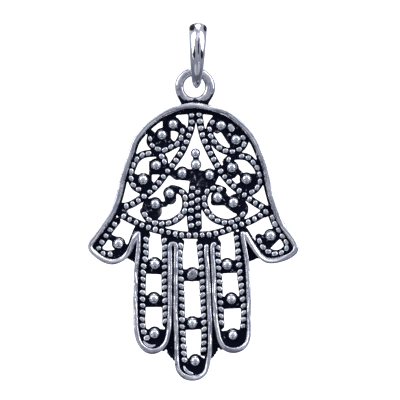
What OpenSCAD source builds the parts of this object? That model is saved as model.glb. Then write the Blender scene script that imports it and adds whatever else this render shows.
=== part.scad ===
// Hamsa pendant: one cast hand with pierced, beaded silverwork and a loose bail.
// Millimetres. +X right, +Z up, the front faces -Y.
// The origin is the chain seat, inside the top of the bail.

/* [Hand] */
// Width of the palm across the middle scrolls
palm_w = 15; // [13.5:0.5:17]
// Height of the palm from the arch top to the base line
palm_h = 13.4; // [12.4:0.2:15]
// Length of the two outer fingers below the base line
finger_l = 11.8; // [10.8:0.2:13]
// Length of the middle finger below the base line
middle_l = 14.5; // [13.5:0.5:16]

/* [Rims] */
// Width of the rim band
rim_w = 0.56; // [0.5:0.02:0.62]
// Width of the rim band round the fingers
finger_rim_w = 0.44; // [0.4:0.01:0.46]
// Height of the rim over the flat back
rim_t = 1.35; // [1.2:0.05:1.6]
// Height of the rounded rim crown as a share of the rim width
rim_crown = 0.56; // [0.54:0.02:0.7]

/* [Ground] */
// Thickness of the pierced ground
ground_t = 0.62; // [0.5:0.02:0.75]
// Width of the ground under each beaded wire
ground_w = 0.76; // [0.7:0.02:0.84]
// Width of the ground under the beaded wires of the fingers
finger_ground_w = 0.6; // [0.58:0.02:0.66]
// Width of the ledge along the inside of the rims
ledge_w = 0.2; // [0.14:0.02:0.26]

/* [Beadwork] */
// Diameter of the small beads
bead_d = 0.54; // [0.48:0.02:0.58]
// Space left between two beads of a wire
bead_gap = 0.13; // [0.1:0.01:0.2]
// How far a bead's middle stands over the ground
bead_rise = 0.1; // [0.05:0.01:0.15]
// Diameter of the large balls
ball_d = 1.04; // [0.94:0.02:1.14]
// How far a ball's middle stands over the ground
ball_rise = 0.22; // [0.15:0.01:0.3]
// Width of the rim of ground round each ball
seat_w = 0.18; // [0.12:0.02:0.24]

/* [Hanging ring] */
// Mean width of the ring's band, and its depth
ring_wire = 0.94; // [0.86:0.02:1.04]
// Diameter of the hole in the ring
ring_hole = 2.14; // [2:0.02:2.4]
// Sideways offset of the hole in the ring
ring_hole_x = -0.06; // [-0.1:0.02:0]
// Upward offset of the hole in the ring
ring_hole_y = 0.08; // [0:0.02:0.12]
// Height of the ring's middle over the arch top
ring_rise = 1.48; // [1.4:0.02:1.7]
// Width of the solder between ring and arch, at the arch
solder_w = 2.9; // [2.5:0.1:3.3]

/* [Bail] */
// Height of the space inside the bail
bail_in_h = 4.9; // [4.5:0.02:5.5]
// Depth of the space inside the bail
bail_in_d = 3; // [2.9:0.1:3.4]
// Width of the bail over its upper half
bail_w_top = 1.78; // [1.6:0.02:2]
// Width of the bail at its lowest point
bail_w_low = 0.76; // [0.7:0.02:0.8]
// Thickness of the bail at the top
bail_t_top = 0.8; // [0.7:0.05:0.9]
// Thickness of the bail at the bottom
bail_t_low = 0.9; // [0.8:0.02:1]
// Sideways lean of the bail in degrees
bail_lean = 1.5; // [0:0.5:2]
// Free space between the ring and the bottom of the bail
link_play = 0.36; // [0.3:0.02:0.44]
// Sideways offset of the hand under the bail
hand_shift = -0.3; // [-0.4:0.05:0]

/* [Hidden] */
$fn = 48;

// The hand is drawn on a sheet. Column 1 counts right of the middle line, column 2
// counts down from the arch top. The sheet is 150 wide and 134 high for the palm,
// the outer fingers take 118 more and the middle finger 145 more.
sheet_w = 150;
sheet_h = 134;
sheet_finger = 118;
sheet_middle = 145;

silver = [0.74, 0.75, 0.8];
dark = [0.16, 0.17, 0.22];

// Flat back of the casting, and the heights of link, ring and arch below the seat.
back_y = 0.49;
ring_r = ring_hole / 2 + ring_wire;
ring_top_w = ring_wire - ring_hole_y;
link_z = -bail_in_h + link_play + ring_top_w / 2;
ring_z = link_z + ring_top_w / 2 - ring_r;
arch_z = ring_z - ring_rise;

function palm_pt(p) = [p.x * palm_w / sheet_w, -p.y * palm_h / sheet_h];
function tip_pt(p, l, s) = [p.x * palm_w / sheet_w, -palm_h - (p.y - sheet_h) * l / s];
function outer_pt(p) = tip_pt(p, finger_l, sheet_finger);
function middle_pt(p) = tip_pt(p, middle_l, sheet_middle);
function palm(t) = [for (p = t) palm_pt(p)];
function outer(t) = [for (p = t) outer_pt(p)];
function middle(t) = [for (p = t) middle_pt(p)];

// Outer rim: the arch and both thumbs, from the left finger round to the right one.
rim_palm = palm([
  [-57, 128.5], [-60, 136], [-63.2, 144.5], [-67.5, 151.5], [-74, 156.8], [-82, 159.5],
  [-90, 157.8], [-98, 152.6], [-104, 146], [-103.8, 140.5], [-100.5, 136], [-90.9, 124],
  [-82.7, 111.4], [-77.8, 99], [-74.5, 86.8], [-71.6, 74.6], [-67.9, 63], [-63.9, 51],
  [-60, 39.3], [-54.1, 31.1], [-45.8, 22.4], [-34.1, 13.9], [-17, 6], [0, 3.3],
  [22.4, 7.9], [34.8, 13.7], [46.3, 22.3], [53.7, 31], [59.7, 39.6], [64.8, 51.1],
  [68.7, 62.9], [71.6, 74.7], [74.1, 86.8], [77.3, 98.9], [81.4, 111.4], [88, 123.8],
  [95.9, 135.9], [100.3, 143.5], [100, 148.5], [95.7, 152.8], [88, 156.2], [79, 158.3],
  [71, 157.5], [64, 152], [58, 144], [53, 136], [49, 129.5]
]);

// Finger rims. A half ring joins the left finger to the middle finger.
rim_left = outer([
  [-56.8, 128.5], [-56.4, 143], [-58.6, 166], [-59.4, 188], [-59.3, 216], [-58.5, 229],
  [-55.5, 240], [-50, 247], [-42.7, 249.6], [-35, 247], [-29.4, 240.4], [-26.4, 229],
  [-25.1, 216], [-25.1, 188], [-25.1, 162], [-25.1, 144.4]
]);
rim_middle = middle([
  [-18.9, 144.4], [-18.9, 162], [-19, 177], [-19.2, 208], [-18.9, 230], [-18.2, 248],
  [-18, 260], [-16.6, 268], [-11, 274.3], [-3.3, 276.2], [4, 275], [9.5, 270.5],
  [12.3, 263], [14.3, 253], [15.3, 243], [15.4, 232], [14.4, 210], [13, 177],
  [11.4, 150], [11.2, 141.5]
]);
rim_right = outer([
  [21.5, 140.6], [17.8, 143], [17.6, 150], [18.9, 177], [19.9, 206], [20.6, 216],
  [22.3, 226.7], [24.7, 238.2], [29.2, 245.5], [36.7, 248.6], [44.5, 247.4], [50.2, 242.8],
  [53.2, 235], [53.9, 226], [53.9, 206], [53.1, 177], [52, 161], [49.6, 144.7],
  [47.7, 133.8], [48, 128.5]
]);

// Beaded wires of the palm.
wires_palm = [
  palm([
    [-3.2, 9.3], [-3.2, 20], [-4.3, 27], [-7, 34.7], [-12.4, 48], [-20.8, 60.6], [-29.5, 71.7],
    [-39.4, 84.3], [-51.7, 94.7], [-64.7, 102.7], [-72.5, 104.5]
  ]),
  palm([
    [3.7, 9.3], [4.7, 18], [7.9, 33.6], [13.7, 47.3], [19.8, 59.1], [25, 67.7], [34.5, 80],
    [46, 90], [57, 98.5], [69, 106]
  ]),
  palm([
    [-74, 112], [-67.4, 116], [-54.7, 122.1], [-42.4, 126.6], [-28.2, 130], [-12, 132.7],
    [2, 133], [15, 132.2], [28.7, 128.9], [42.5, 123.5], [56, 118.5], [68, 111.5], [73.5, 107]
  ]),
  palm([[-12.4, 25.5], [-13, 32.5], [-16.8, 40.4], [-23, 44], [-31, 47.8], [-39.2, 45.6],
    [-44.7, 40.5], [-44, 33]]),
  palm([[19.5, 17.5], [15.5, 23.5], [14.8, 31.5], [18, 38], [22.5, 44], [28.6, 47.9],
    [35, 49.5], [40.5, 48.5], [46.8, 45], [49.8, 38.9], [46, 32.5]]),
  palm([[-30.8, 63], [-31, 56.8], [-37.5, 51.4], [-45.5, 51.3], [-52.1, 52.6], [-58.4, 57.2],
    [-62, 64], [-64.1, 70.9], [-63.5, 78.2], [-60, 84.6], [-53.5, 88.5]]),
  palm([[31.1, 59.5], [36.5, 55], [43, 53.8], [52.5, 55.2], [57.9, 59.8], [62.1, 65.2],
    [64.8, 72.5], [64.8, 80.1], [60.5, 87], [53.5, 91]]),
  palm([[-23, 86.3], [-17, 87.8], [-12, 91], [-9.5, 97], [-9.5, 104.4], [-12.1, 111.3],
    [-17.9, 116.7], [-25.5, 120.5], [-32.4, 121.2], [-41.6, 120], [-47.7, 115.5], [-51.5, 109]]),
  palm([[28, 88], [21.5, 85.8], [15.8, 86.2], [11.5, 90], [8.9, 98], [10.2, 105], [15, 113],
    [21.4, 117.8], [30.6, 120.3], [39, 118.9], [45, 115.3], [49.5, 109]]),
  palm([[-2, 82], [-3.3, 94.1], [-3.3, 101.7], [-4.1, 109.8], [-4.5, 117], [-3.3, 127]]),
  palm([[2.9, 86], [2.7, 91], [2.7, 98.7], [2.7, 105.9], [2.9, 113.6], [3.4, 125]])
];

// Beaded wires inside the thumbs.
wires_thumb = [
  palm([[-78.1, 119], [-83.4, 125.6], [-88, 132.1], [-92.2, 138.9], [-96.5, 145],
    [-94.5, 149.5], [-88.5, 152], [-81, 151.5]]),
  palm([[76.5, 112], [78.4, 117.7], [81.5, 124.6], [86, 131.9], [90.6, 138.4], [92.5, 144.5],
    [86, 150.6], [79, 151.4], [70.7, 147.6], [66, 142], [64, 135]])
];

// Beaded wires inside the fingers.
wires_finger = [
  outer([[-48.7, 134], [-49.3, 143], [-49, 150], [-49.8, 156.6], [-51.2, 163.7], [-51.9, 179],
    [-52.4, 194.5], [-52.3, 210], [-52.6, 217], [-52, 224.7], [-50, 233], [-46, 238]]),
  outer([[-31.4, 135], [-30.3, 143.6], [-30, 150.6], [-30.4, 160], [-30.7, 174], [-30.5, 190],
    [-30, 206], [-29.7, 222]]),
  middle([[-13.5, 140], [-14.6, 147.4], [-15.4, 155], [-15.1, 162.6], [-14.3, 172],
    [-13.7, 188], [-13, 206.5], [-13, 222], [-12.2, 232], [-11.5, 245.3], [-10, 261]]),
  middle([[4.4, 141], [4.9, 148], [6.5, 162], [7.1, 173], [7.6, 190], [8.6, 207],
    [8.8, 222], [9.1, 235], [8.2, 251]]),
  outer([[23.3, 142], [22.7, 148], [23, 156], [23.8, 166], [24.5, 182], [25, 192], [26, 206],
    [26.5, 224]]),
  outer([[41.2, 132], [42.4, 141], [43.2, 154], [45.2, 174], [46.8, 190], [48.7, 206],
    [48.9, 217], [47.6, 227.3]])
];

// Large balls: right, down, size and seat as shares of the usual ball and seat.
balls_palm = [
  [-22, 21.9, 1, 1], [-33, 32.5, 1, 1], [26, 23, 1, 1], [41, 37.5, 1, 1],
  [-38.8, 63, 1, 1], [-51.8, 77.5, 1, 1], [36.8, 65.4, 1, 1], [51.5, 77, 1, 1],
  [-25.2, 91, 0.96, 1], [-39.8, 101.7, 1, 1], [22.7, 95.1, 1, 1], [38.5, 100.2, 1.04, 1],
  [0.5, 51, 0.86, 0.2], [1, 62.3, 1, 0.2], [-12.8, 71, 1, 1], [14.5, 72.8, 0.96, 1],
  [-76.4, 141.3, 1.06, 0.8], [75.7, 133.4, 1.06, 0.8]
];
balls_outer = [
  [-40.2, 161.8, 1.04, 1], [-41.1, 196.4, 1, 1], [-40.4, 231.2, 1, 1],
  [32.2, 162.5, 1, 1], [36.3, 196.9, 1, 1], [37.9, 232.8, 1, 1]
];
balls_middle = [[-2.6, 172, 1.06, 1], [-2.6, 220.7, 1, 1], [0.3, 258.7, 1, 1]];
balls = concat(
  [for (b = balls_palm) [palm_pt(b), b[2] * ball_d, b[3] * seat_w]],
  [for (b = balls_outer) [outer_pt(b), b[2] * ball_d, b[3] * seat_w]],
  [for (b = balls_middle) [middle_pt(b), b[2] * ball_d, b[3] * seat_w]]
);

// Plain patches of ground: two ends and a width, all as sheet counts.
patches_palm = [
  [[-22, 23], [-14, 27], 9],
  [[-24, 12], [-24, 22], 10],
  [[-19, 18.7], [-13, 26.7], 7],
  [[-18, 10.5], [-6, 9.5], 5],
  [[8, 9.5], [20, 11], 5],
  [[21, 13], [22, 18], 6],
  [[19, 25], [22, 28], 7],
  [[30, 18.5], [39, 30], 11],
  [[-36, 37], [-28, 42], 14],
  [[-29.5, 16.5], [-29.5, 26], 6],
  [[-27.5, 30], [-27.5, 37], 7],
  [[-44, 30], [-42, 32], 5],
  [[24, 16], [22, 18], 6],
  [[30, 27], [37, 38], 10],
  [[44, 27], [48, 34], 11],
  [[39, 44], [46, 40], 9],
  [[-36, 62], [-29, 68], 11],
  [[-42, 70], [-34, 70], 5],
  [[-44.6, 60], [-44.6, 84], 3],
  [[-55, 84], [-46, 84], 12],
  [[-60, 76], [-52, 84], 9],
  [[22, 70], [18, 78.5], 7],
  [[32, 66], [37, 71], 11],
  [[40, 66], [48, 74], 5],
  [[52, 84], [46, 86], 12],
  [[58, 76], [56, 86], 10],
  [[-25, 92], [-24.5, 96.5], 12],
  [[-44, 105], [-42, 109], 18],
  [[-34, 102.5], [-30, 102], 6],
  [[24, 92], [28, 97], 13],
  [[41, 99], [46, 106], 15],
  [[19, 100], [24, 100], 7],
  [[31, 96.5], [34, 98], 5],
  [[33, 103], [40, 108], 6],
  [[-13, 72], [15, 75], 12],
  [[-22, 71], [-18, 74], 8],
  [[1, 52], [1, 66], 6],
  [[1, 78], [3, 86], 13],
  [[12, 80], [16, 78], 8],
  [[-1, 124], [-1, 131], 6],
  [[-72, 148], [-68, 150], 14],
  [[-86, 134.5], [-80, 137], 6],
  [[-78, 151], [-86, 151.5], 6],
  [[69, 137.5], [74, 136], 10],
  [[73, 144], [82, 135], 6.5],
  [[67, 140], [73, 139.5], 8],
  [[-76, 152], [-86, 156], 6],
  [[-79, 108], [-70, 110], 7],
  [[76, 106], [70, 112], 7],
  [[64, 142], [70, 150], 8],
  [[-62, 150], [-64, 158], 8],
  [[58, 150], [60, 158], 8],
  [[-28, 137], [-18, 138], 7],
  [[6, 137], [20, 136], 7],
  [[-51, 129], [-48, 133], 7],
  [[-4, 9], [4, 9], 7],
  [[9, 83], [13, 86], 7],
  [[5.5, 88], [7, 93], 4],
  [[-101, 141], [-96, 146], 6],
  [[98, 144], [93, 149], 6],
  [[4, 141], [22, 140], 6],
  [[-29, 140], [-17, 141], 6]
];
patches_outer = [
  [[-52, 165], [-30, 166], 13],
  [[-53, 199], [-31, 199], 12],
  [[-48, 234], [-33, 234], 14],
  [[24, 165], [46, 164], 13],
  [[26, 201], [47, 200], 12],
  [[30, 236], [43, 235], 15],
  [[-22, 148], [-22, 225], 5],
  [[-22, 225], [-22, 250], 12],
  [[15, 145], [17.5, 210], 5],
  [[18, 215], [18, 250], 10],
  [[-53.2, 130], [-54.4, 214], 5],
  [[46, 144], [49.4, 190], 4],
  [[49.5, 226], [48.5, 234], 4],
  [[53.5, 145], [55, 150], 4],
  [[33, 241], [44, 240.5], 8],
  [[-49, 240], [-35, 240.5], 8],
  [[-47, 244], [-38, 244], 8]
];
patches_middle = [
  [[-13, 173], [7, 173], 12],
  [[-13, 222], [8, 221], 12],
  [[-5, 264], [4, 262], 15],
  [[-14.5, 250], [-13, 262], 5],
  [[-10, 267], [4, 267], 11]
];

// Edge of the ground, run along the middle of the rims.
edge_ground = concat(
  [for (i = [5 : len(rim_palm) - 6]) rim_palm[i]],
  palm([[63, 156]]),
  outer([[54, 160], [54, 166], [53.1, 177], [53.9, 206], [53.9, 226], [53.2, 235],
    [50.2, 242.8], [44.5, 247.4], [36.7, 248.6], [29.2, 247], [22, 250]]),
  middle([[17.8, 256], [14.3, 256], [12.3, 263], [9.5, 270.5], [4, 275], [-3.3, 276.2],
    [-11, 274.3], [-16.6, 268], [-19, 260], [-23.5, 257.5]]),
  outer([[-27, 252], [-35, 248], [-42.7, 249.6], [-50, 247], [-55.5, 240], [-58.5, 229],
    [-59.3, 216], [-59.4, 188], [-58.6, 166], [-61, 160]]),
  palm([[-68, 156]])
);

// Unit vector, turn by an angle, and cross product in the plane.
function unit(v) = v / norm(v);
function turned(v, a) = [v.x * cos(a) - v.y * sin(a), v.x * sin(a) + v.y * cos(a)];
function across(a, b) = a.x * b.y - a.y * b.x;

// Smooth direction at each point of an open path.
function heading(p, i) =
  i == 0 ? unit(unit(p[1] - p[0]) * 2 - unit(p[2] - p[0])) :
  i == len(p) - 1 ? unit(unit(p[i] - p[i - 1]) * 2 - unit(p[i] - p[i - 2])) :
  unit(unit(p[i] - p[i - 1]) * norm(p[i + 1] - p[i]) + unit(p[i + 1] - p[i]) * norm(p[i] - p[i - 1]));

// Two tangent arcs between two points: each arc is [start, direction, end].
function arc_reach(v, a, b) =
  let (k = 2 * (1 - a * b), m = v * (a + b))
  k < 0.0001 ? (v * v) / (4 * (v * b)) : (sqrt(m * m + k * (v * v)) - m) / k;
function arc_join(p, a, q, b) = (p + q + arc_reach(q - p, a, b) * (a - b)) / 2;
function arc_sweep(p, a, q) = 2 * atan2(across(a, q - p), a * (q - p));
function arc_pair(p, a, q, b) =
  let (m = arc_join(p, a, q, b))
  [[p, a, m], [m, turned(a, arc_sweep(p, a, m)), q]];
function arcs(p) = [
  for (i = [0 : len(p) - 2])
    for (s = arc_pair(p[i], heading(p, i), p[i + 1], heading(p, i + 1))) s
];

// Points along one arc, and along a whole chain of arcs.
function arc_at(s, f) =
  let (w = s[2] - s[0], h = arc_sweep(s[0], s[1], s[2]) / 2)
  abs(h) < 0.3 ? s[0] + w * f :
  s[0] + turned(s[1], h * f) * norm(w) * sin(h * f) / sin(h);
function arc_len(s) =
  let (w = norm(s[2] - s[0]), h = abs(arc_sweep(s[0], s[1], s[2])) / 2)
  h < 0.3 ? w : w * (h * PI / 180) / sin(h);
function chain(p, n) = concat(
  [for (s = arcs(p)) for (k = [0 : n - 1]) arc_at(s, k / n)],
  [p[len(p) - 1]]
);
function total(a, i = 0) = i >= len(a) ? 0 : arc_len(a[i]) + total(a, i + 1);
function walk(a, d, i = 0) =
  let (l = arc_len(a[i]))
  d <= l || i == len(a) - 1 ? arc_at(a[i], min(1, d / l)) : walk(a, d - l, i + 1);
function bead_spots(p) =
  let (a = arcs(p), l = total(a), n = max(2, floor(l / (bead_d + bead_gap))))
  [for (k = [0 : n - 1]) walk(a, (k + 0.5) * l / n)];

// Beads of all the wires, without the ones that another bead or a ball would touch.
bead_clear = 1.04 * bead_d;
function clear_of_beads(p, list) = len([for (q = list) if (norm(p - q) < bead_clear) 1]) == 0;
function clear_of_balls(p) =
  len([for (b = balls) if (norm(p - b[0]) < (b[1] + bead_d) / 2) 1]) == 0;
function thinned(list, kept = [], i = 0) =
  i == len(list) ? kept :
  let (p = list[i], fits = clear_of_beads(p, kept) && clear_of_balls(p))
  thinned(list, fits ? concat(kept, [p]) : kept, i + 1);
bead_list = thinned([
  for (w = concat(wires_palm, wires_thumb, wires_finger)) for (p = bead_spots(w)) p
]);

// A flat band of even width along a path.
module band(p, w) {
  c = chain(p, 1);
  n = len(c);
  side = [
    for (i = [0 : n - 1])
      let (d = unit(c[min(i + 1, n - 1)] - c[max(i - 1, 0)]))
      [-d.y, d.x] * w / 2
  ];
  for (i = [0 : n - 2])
    polygon([c[i] + side[i], c[i + 1] + side[i + 1], c[i + 1] - side[i + 1], c[i] - side[i]]);
  for (e = [c[0], c[n - 1]])
    translate(e)
      circle(d = w, $fn = 10);
}

module patch(p, q, w) {
  d = unit(q - p);
  side = [-d.y, d.x] * w / 2;
  polygon([p + side, q + side, q - side, p - side]);
  for (e = [p, q])
    translate(e)
      circle(d = w, $fn = 10);
}

// Flat outline of the pierced ground.
module ground_outline() {
  u = palm_w / sheet_w;
  intersection() {
    polygon(edge_ground);
    union() {
      band(rim_palm, rim_w + 2 * ledge_w);
      for (r = [rim_left, rim_middle, rim_right])
        band(r, finger_rim_w + 2 * ledge_w);
      for (w = concat(wires_palm, wires_thumb))
        band(w, ground_w);
      for (w = wires_finger)
        band(w, finger_ground_w);
      for (b = balls)
        translate(b[0])
          circle(d = b[1] + 2 * b[2], $fn = 16);
      for (t = patches_palm)
        patch(palm_pt(t[0]), palm_pt(t[1]), t[2] * u);
      for (t = patches_outer)
        patch(outer_pt(t[0]), outer_pt(t[1]), t[2] * u);
      for (t = patches_middle)
        patch(middle_pt(t[0]), middle_pt(t[1]), t[2] * u);
    }
  }
}

// The work inside the rims is laid out in zones, [left, low edge, right, top] each. They
// meet at the middle of the palm, half way down it, below it and between the fingers.
mid_x = 0.13;
half_y = -6.83;
base_y = -13.83;
web_left = -2.17;
web_right = 1.67;
far = 40;
zones = [
  [-far, half_y, mid_x, far], [mid_x, half_y, far, far],
  [-far, base_y, mid_x, half_y], [mid_x, base_y, far, half_y],
  [-far, -far, web_left, base_y], [web_left, -far, web_right, base_y],
  [web_right, -far, far, base_y]
];
function within(p, z) = p.x >= z[0] && p.x < z[2] && p.y >= z[1] && p.y < z[3];

module zone_box(z) {
  translate([z[0], z[1]])
    square([z[2] - z[0], z[3] - z[1]]);
}

module ground(z) {
  linear_extrude(height = ground_t)
    offset(delta = 0)
      intersection() {
        ground_outline();
        zone_box(z);
      }
}

module zone(z) {
  color(dark)
    ground(z);
  color(silver)
    beads(z);
  color(silver)
    large_balls(z);
}

// Rim section: column 1 is a share of the half width, column 2 of the crown's height
// over the shoulder. The first and last points stand on the flat back.
rim_section = [
  [-1, -1], [-1, 0], [-0.82, 0.57], [-0.4, 0.92], [0, 1], [0.4, 0.92], [0.82, 0.57], [1, 0], [1, -1]
];

// How full the section is at each step: the two ends are drawn in.
function fullness(i, n) =
  let (k = min(i, n - 1 - i))
  k == 0 ? 0.5 : k == 1 ? 0.88 : 1;

// A rim along a path: one swept band with drawn-in ends.
module rim(p, w) {
  c = chain(p, 1);
  n = len(c);
  m = len(rim_section);
  shoulder = rim_t - w * rim_crown;
  points = [
    for (i = [0 : n - 1])
      let (d = unit(c[min(i + 1, n - 1)] - c[max(i - 1, 0)]), f = fullness(i, n))
      for (s = rim_section)
        let (q = c[i] + [-d.y, d.x] * s.x * f * w / 2)
        [q.x, q.y, s.y < 0 ? 0 : shoulder + s.y * f * w * rim_crown]
  ];
  faces = concat(
    [for (i = [0 : n - 2]) for (k = [0 : m - 1])
      [i * m + k, i * m + (k + 1) % m, (i + 1) * m + (k + 1) % m, (i + 1) * m + k]],
    [[for (k = [m - 1 : -1 : 0]) k]],
    [[for (k = [0 : m - 1]) (n - 1) * m + k]]
  );
  polyhedron(points = points, faces = faces, convexity = 10);
}

module rims() {
  u_turn = [
    for (t = [-60, -30, 0, 30, 60])
      let (a = rim_left[len(rim_left) - 1], b = rim_middle[0])
      (a + b) / 2 + [sin(t), cos(t)] * norm(b - a) / 2
  ];
  rim(rim_palm, rim_w);
  rim(concat(rim_left, u_turn, rim_middle), finger_rim_w);
  rim(rim_right, finger_rim_w);
}

module beads(z) {
  for (b = bead_list)
    if (within(b, z))
      translate([b.x, b.y, ground_t + bead_rise])
        sphere(d = bead_d);
}

module large_balls(z) {
  for (b = balls)
    if (within(b[0], z))
      translate([b[0].x, b[0].y, ground_t + ball_rise])
        sphere(d = b[1]);
}

// Hanging ring: a band round an off-centre hole. At each step the hole's edge and the
// ring's edge, both seen from the hole's middle, bound an oval section.
ring_steps = 40;
ring_sides = 12;

module ring_band() {
  h = [ring_hole_x, ring_hole_y];
  points = [
    for (i = [0 : ring_steps - 1])
      let (
        d = [sin(i * 360 / ring_steps), cos(i * 360 / ring_steps)],
        reach = sqrt((h * d) * (h * d) - h * h + ring_r * ring_r) - h * d,
        mid = (ring_hole / 2 + reach) / 2,
        half = (reach - ring_hole / 2) / 2
      )
      for (k = [0 : ring_sides - 1])
        let (b = k * 360 / ring_sides, q = h + d * (mid + half * cos(b)))
        [q.x, q.y, ring_wire / 2 * sin(b)]
  ];
  faces = [
    for (i = [0 : ring_steps - 1])
      for (k = [0 : ring_sides - 1])
        let (j = (i + 1) % ring_steps, l = (k + 1) % ring_sides)
        [i * ring_sides + k, j * ring_sides + k, j * ring_sides + l, i * ring_sides + l]
  ];
  translate([0, ring_rise, back_y])
    polyhedron(points = points, faces = faces, convexity = 6);
}

// Solder under the ring: its foot below the arch top, its top's distance from the hole, its
// top width as a share of the foot's, and its lift and thickness over the flat back.
solder_foot = 0.35;
solder_short = 0.1;
solder_top = 0.72;
solder_lift = 0.08;
solder_t = 0.8;

module hanging_ring() {
  ring_band();
  top_w = solder_w * solder_top;
  top_y = ring_rise + ring_hole_y - ring_hole / 2 - solder_short;
  translate([0, 0, solder_lift])
    linear_extrude(height = solder_t)
      polygon([
        [-solder_w / 2, -solder_foot], [solder_w / 2, -solder_foot],
        [top_w / 2, top_y], [-top_w / 2, top_y]
      ]);
}

module hand() {
  translate([hand_shift, back_y, arch_z])
    rotate([90, 0, 0]) {
      for (z = zones)
        zone(z);
      color(silver)
        rims();
      color(silver)
        hanging_ring();
    }
}

// Bail: the section changes along a drop-shaped loop, which narrows in depth by the taper.
bail_steps = 56;
bail_taper = 0.1;
function bail_y(a) = bail_in_d / 2 * sin(a) * (1 - bail_taper * (1 - cos(a)) / 2);
function bail_z(a) = -bail_in_h / 2 * (1 - cos(a));
function bail_out(a) =
  let (d = [bail_y(a + 0.5) - bail_y(a - 0.5), bail_z(a + 0.5) - bail_z(a - 0.5)])
  unit([-d.y, d.x]);
function bail_t(a) = bail_t_top + (bail_t_low - bail_t_top) * (1 - cos(a)) / 2;
function bail_mid_z(a) = bail_z(a) + bail_out(a).y * bail_t(a) / 2;
function bail_w(a) =
  let (low = -bail_in_h - bail_t_low / 2, high = bail_t_top / 2)
  bail_w_low + (bail_w_top - bail_w_low) * sqrt(max(0, bail_mid_z(a) - low) / (high - low));

// Bail section: column 1 is a share of the half width, column 2 of the thickness.
bail_section = [
  [-0.86, 0], [0.86, 0], [1, 0.14], [0.98, 0.3], [0.9, 0.48], [0.68, 0.74], [0.36, 0.93], [0, 1],
  [-0.36, 0.93], [-0.68, 0.74], [-0.9, 0.48], [-0.98, 0.3], [-1, 0.14]
];

module bail() {
  n = bail_steps;
  m = len(bail_section);
  points = [
    for (i = [0 : n - 1])
      let (a = i * 360 / n, o = bail_out(a), t = bail_t(a), w = bail_w(a))
      for (s = bail_section)
        [s.x * w / 2, bail_y(a) + o.x * s.y * t, bail_z(a) + o.y * s.y * t]
  ];
  faces = [
    for (i = [0 : n - 1])
      for (k = [0 : m - 1])
        let (j = (i + 1) % n, l = (k + 1) % m)
        [i * m + l, j * m + l, j * m + k, i * m + k]
  ];
  color(silver)
    rotate([0, bail_lean, 0])
      polyhedron(points = points, faces = faces, convexity = 6);
}

hand();
bail();
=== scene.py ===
"""Hamsa pendant in detail: sizes are typed in millimetres, the scene is in metres."""

import math

import bpy
import numpy as np
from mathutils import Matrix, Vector


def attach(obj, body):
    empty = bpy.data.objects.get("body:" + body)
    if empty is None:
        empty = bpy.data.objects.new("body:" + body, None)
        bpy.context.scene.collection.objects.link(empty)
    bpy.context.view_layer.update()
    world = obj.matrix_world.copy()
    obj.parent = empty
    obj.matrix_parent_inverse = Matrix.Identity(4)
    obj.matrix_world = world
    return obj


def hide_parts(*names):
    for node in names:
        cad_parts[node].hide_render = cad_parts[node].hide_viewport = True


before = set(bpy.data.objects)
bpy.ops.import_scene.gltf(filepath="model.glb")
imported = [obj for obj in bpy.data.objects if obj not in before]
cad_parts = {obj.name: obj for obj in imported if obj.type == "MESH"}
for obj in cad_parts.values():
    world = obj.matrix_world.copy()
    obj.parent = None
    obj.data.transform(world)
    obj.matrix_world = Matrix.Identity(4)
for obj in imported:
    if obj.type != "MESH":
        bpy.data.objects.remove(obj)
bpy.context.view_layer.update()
rng = np.random.default_rng(7)

MM = 0.001

# Sizes in mm, as in the CAD source

PALM_W, PALM_H, FINGER_L, MIDDLE_L = 15.0, 13.4, 11.8, 14.5
# these four in the photo's pixels
SHEET_W, SHEET_H, SHEET_FINGER, SHEET_MIDDLE = 150.0, 134.0, 118.0, 145.0
# the crown is a share of a rim's width
RIM_W, FINGER_RIM_W, RIM_T, RIM_CROWN = 0.56, 0.44, 1.35, 0.56
GROUND_T, GROUND_W, FINGER_GROUND_W, LEDGE_W = 0.62, 0.76, 0.6, 0.2
BEAD_D, BEAD_GAP, BEAD_RISE = 0.54, 0.13, 0.1
BALL_D, BALL_RISE, SEAT_W = 1.04, 0.22, 0.18
RING_WIRE, RING_HOLE, RING_HOLE_X, RING_HOLE_Y, RING_RISE = 0.94, 2.14, -0.06, 0.08, 1.48
BAIL_IN_H, BAIL_IN_D, BAIL_W_TOP, BAIL_W_LOW = 4.9, 3.0, 1.78, 0.76
# the lean is in degrees, the taper a share of the depth
BAIL_T_TOP, BAIL_T_LOW, BAIL_LEAN, BAIL_TAPER = 0.8, 0.9, 1.5, 0.1
LINK_PLAY, HAND_SHIFT, BACK_Y = 0.36, -0.3, 0.49
RING_R = RING_HOLE / 2 + RING_WIRE
RING_TOP_W = RING_WIRE - RING_HOLE_Y
LINK_Z = -BAIL_IN_H + LINK_PLAY + RING_TOP_W / 2
ARCH_Z = LINK_Z + RING_TOP_W / 2 - RING_R - RING_RISE

# Finer forms that only the scene has, in mm

WIRE_FILLET, BALL_FILLET, PATCH_FILLET = 0.1, 0.12, 0.08
EDGE_ROLL, GROUND_LUMPS, GROUND_BACK = 0.12, 0.025, 0.02
# the back's edge is rolled by this share of the front's
BACK_ROLL = 0.25
# uneven rims: share of the width, height, share of the width that the crown tilts
RIM_WAVE, RIM_RISE, RIM_TILT = 0.035, 0.018, 0.17
# how far a rim's ridge is rubbed to one side, outside and between the fingers
RUBBED_OUTSIDE, RUBBED_BETWEEN, BETWEEN_X, RUBBED_WAVE = 0.85, 0.35, 4.3, 0.3
# rims swell at the fingers' ends; a rim's own end is rounded over this share of its width
# and is lower by this share of its height
TIP_SWELL, TIP_Y, RIM_END, RIM_END_DROP = 0.3, -23, 0.55, 0.25
RIM_BACK, RIM_BACK_WEAR = 0.03, 0.3
# grains: half extent along the wire, across it and up; mean slant and its spread in degrees
SCROLL_GRAIN = (0.315, 0.245, 0.24), 18, 10
WIRE_GRAIN = (0.25, 0.295, 0.26), 8, 9
ROPE_GRAIN, ROPE_PITCH, ROPE_LIFT = (0.25, 0.33, 0.28), 0.655, 0.02
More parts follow.
